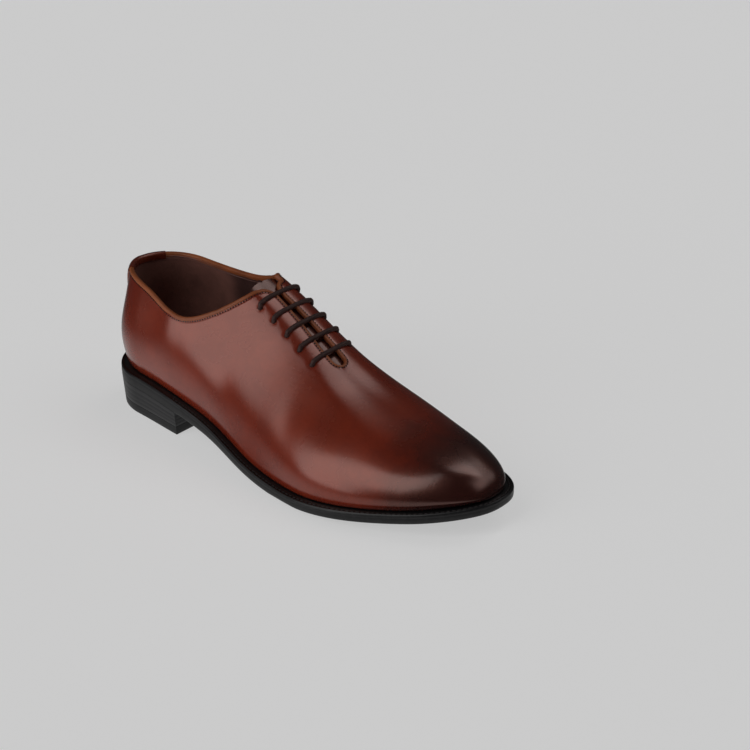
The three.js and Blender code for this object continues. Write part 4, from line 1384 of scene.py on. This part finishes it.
# %% Floor
FLOOR_HALF = 6
corners = [(x * FLOOR_HALF, y * FLOOR_HALF, 0) for x, y in ((-1, -1), (1, -1), (1, 1), (-1, 1))]
floor_mesh = bpy.data.meshes.new("floor")
floor_mesh.from_pydata(corners, [], [(0, 1, 2, 3)])
floor = bpy.data.objects.new("floor", floor_mesh)
bpy.context.scene.collection.objects.link(floor)
material, tree, place = new_material("floor_matt_pale")
dust = node(tree, "ShaderNodeTexNoise", {"Vector": place, "Scale": 3.0, "Detail": 2.0}).outputs["Fac"]
level = remap(tree, dust, 0.0, 1.0, .5, .52)
shade = node(tree, "ShaderNodeCombineColor", {0: level, 1: level, 2: level}).outputs[0]
finish_with(tree, {
    "Base Color": shade, "Roughness": .9, "Specular IOR Level": 0.0,
    "Emission Color": (1.0, 1.0, 1.0, 1.0), "Emission Strength": .47})
dress(floor, material)
floor.visible_glossy = False
print("floor:", 2 * FLOOR_HALF, "m wide")

# %% [markdown]
# The light is a studio painted in the world. The highlights in the photograph tell where its bright
# walls stood: a tall panel at the camera's left, whose edges lean as they rise, draws the long field
# on the side; one high behind draws the far edge, and a weak one beyond the toe its soft spot.

# %% Lights
# Headings in degrees from +X towards +Y, of the left panel's two edges, and how far each one leans
LEFT_EDGE, LEFT_LEAN, RIGHT_EDGE, RIGHT_LEAN = -134, .458, -88.5, .25
# heading from and to, height from and to, softness of the edges (all in degrees), strength
PANELS = [(66, 100, 46, 80, 7, 1.3), (8, 72, 31, 58, 14, .75)]
FLOOR_GLOW, AIR_GLOW = .42, .03


def band(tree, value, low, high, soft):
    """1 between low and high, with soft ends; the ends may be numbers or other nodes' outputs."""
    rise = remap(tree, maths(tree, "SUBTRACT", value, low), -soft, soft, kind="SMOOTHSTEP")
    fall = remap(tree, maths(tree, "SUBTRACT", value, high), soft, -soft, kind="SMOOTHSTEP")
    return maths(tree, "MULTIPLY", rise, fall)


world = bpy.context.scene.world or bpy.data.worlds.new("studio")
bpy.context.scene.world = world
world.use_nodes = True
tree = world.node_tree
tree.nodes.clear()
sight = node(tree, "ShaderNodeTexCoord").outputs["Generated"]
ray = node(tree, "ShaderNodeSeparateXYZ", {0: sight}).outputs
heading = maths(tree, "ARCTAN2", ray["Y"], ray["X"])
height = maths(tree, "ARCSINE", ray["Z"])
squared = maths(tree, "MULTIPLY", height, height)
left_edge = maths(tree, "MULTIPLY_ADD", squared, LEFT_LEAN, math.radians(LEFT_EDGE))
right_edge = maths(tree, "MULTIPLY_ADD", height, RIGHT_LEAN, math.radians(RIGHT_EDGE))
side_part = band(tree, heading, left_edge, right_edge, math.radians(5))
height_part = band(tree, height, math.radians(-14), math.radians(88), math.radians(6))
strength = remap(tree, height, math.radians(-15), math.radians(45), 1.3, 1.6)
glow = maths(tree, "MULTIPLY", maths(tree, "MULTIPLY", side_part, height_part), strength)
for *edges, soft, level in PANELS:
    from_side, to_side, from_height, to_height = (math.radians(angle) for angle in edges)
    side_part = band(tree, heading, from_side, to_side, math.radians(soft))
    height_part = band(tree, height, from_height, to_height, math.radians(soft * .8))
    glow = maths(tree, "MULTIPLY_ADD", maths(tree, "MULTIPLY", side_part, height_part), level, glow)
below = remap(tree, height, math.radians(-14), math.radians(-30), 0.0, FLOOR_GLOW, "SMOOTHSTEP")
glow = maths(tree, "ADD", maths(tree, "ADD", glow, below), AIR_GLOW)
sky = node(tree, "ShaderNodeBackground", {"Strength": glow})
node(tree, "ShaderNodeOutputWorld", {"Surface": sky.outputs[0]})
print("panels of light:", 1 + len(PANELS))

# %% [markdown]
# The camera looks at the shoe from the photograph's side and height, with a long lens from more than
# a metre away. Its place was found by fitting the heel, the toe and the collar to their outline.

# %% Camera
AZIMUTH, ELEVATION, ROLL = math.radians(40.595), math.radians(26.961), math.radians(-.276)
AIM = Vector((-35.282, 113.026, 0)) * MM
DISTANCE, LENS, SENSOR = 1.27167, 89.46, 36
forward = Vector((-math.sin(AZIMUTH) * math.cos(ELEVATION),
                  math.cos(AZIMUTH) * math.cos(ELEVATION), -math.sin(ELEVATION)))
level_right = Vector((math.cos(AZIMUTH), math.sin(AZIMUTH), 0))
level_up = level_right.cross(forward)
right = level_right * math.cos(ROLL) + level_up * math.sin(ROLL)
upward = level_up * math.cos(ROLL) - level_right * math.sin(ROLL)
camera_data = bpy.data.cameras.new("camera")
camera_data.lens = LENS
camera_data.sensor_width = SENSOR
camera = bpy.data.objects.new("camera", camera_data)
bpy.context.scene.collection.objects.link(camera)
camera.matrix_world = Matrix((right, upward, -forward)).transposed().to_4x4()
camera.location = AIM - forward * DISTANCE
bpy.context.scene.camera = camera
bpy.context.scene.view_settings.view_transform = "Standard"
print("camera at", [round(v, 3) for v in camera.location])
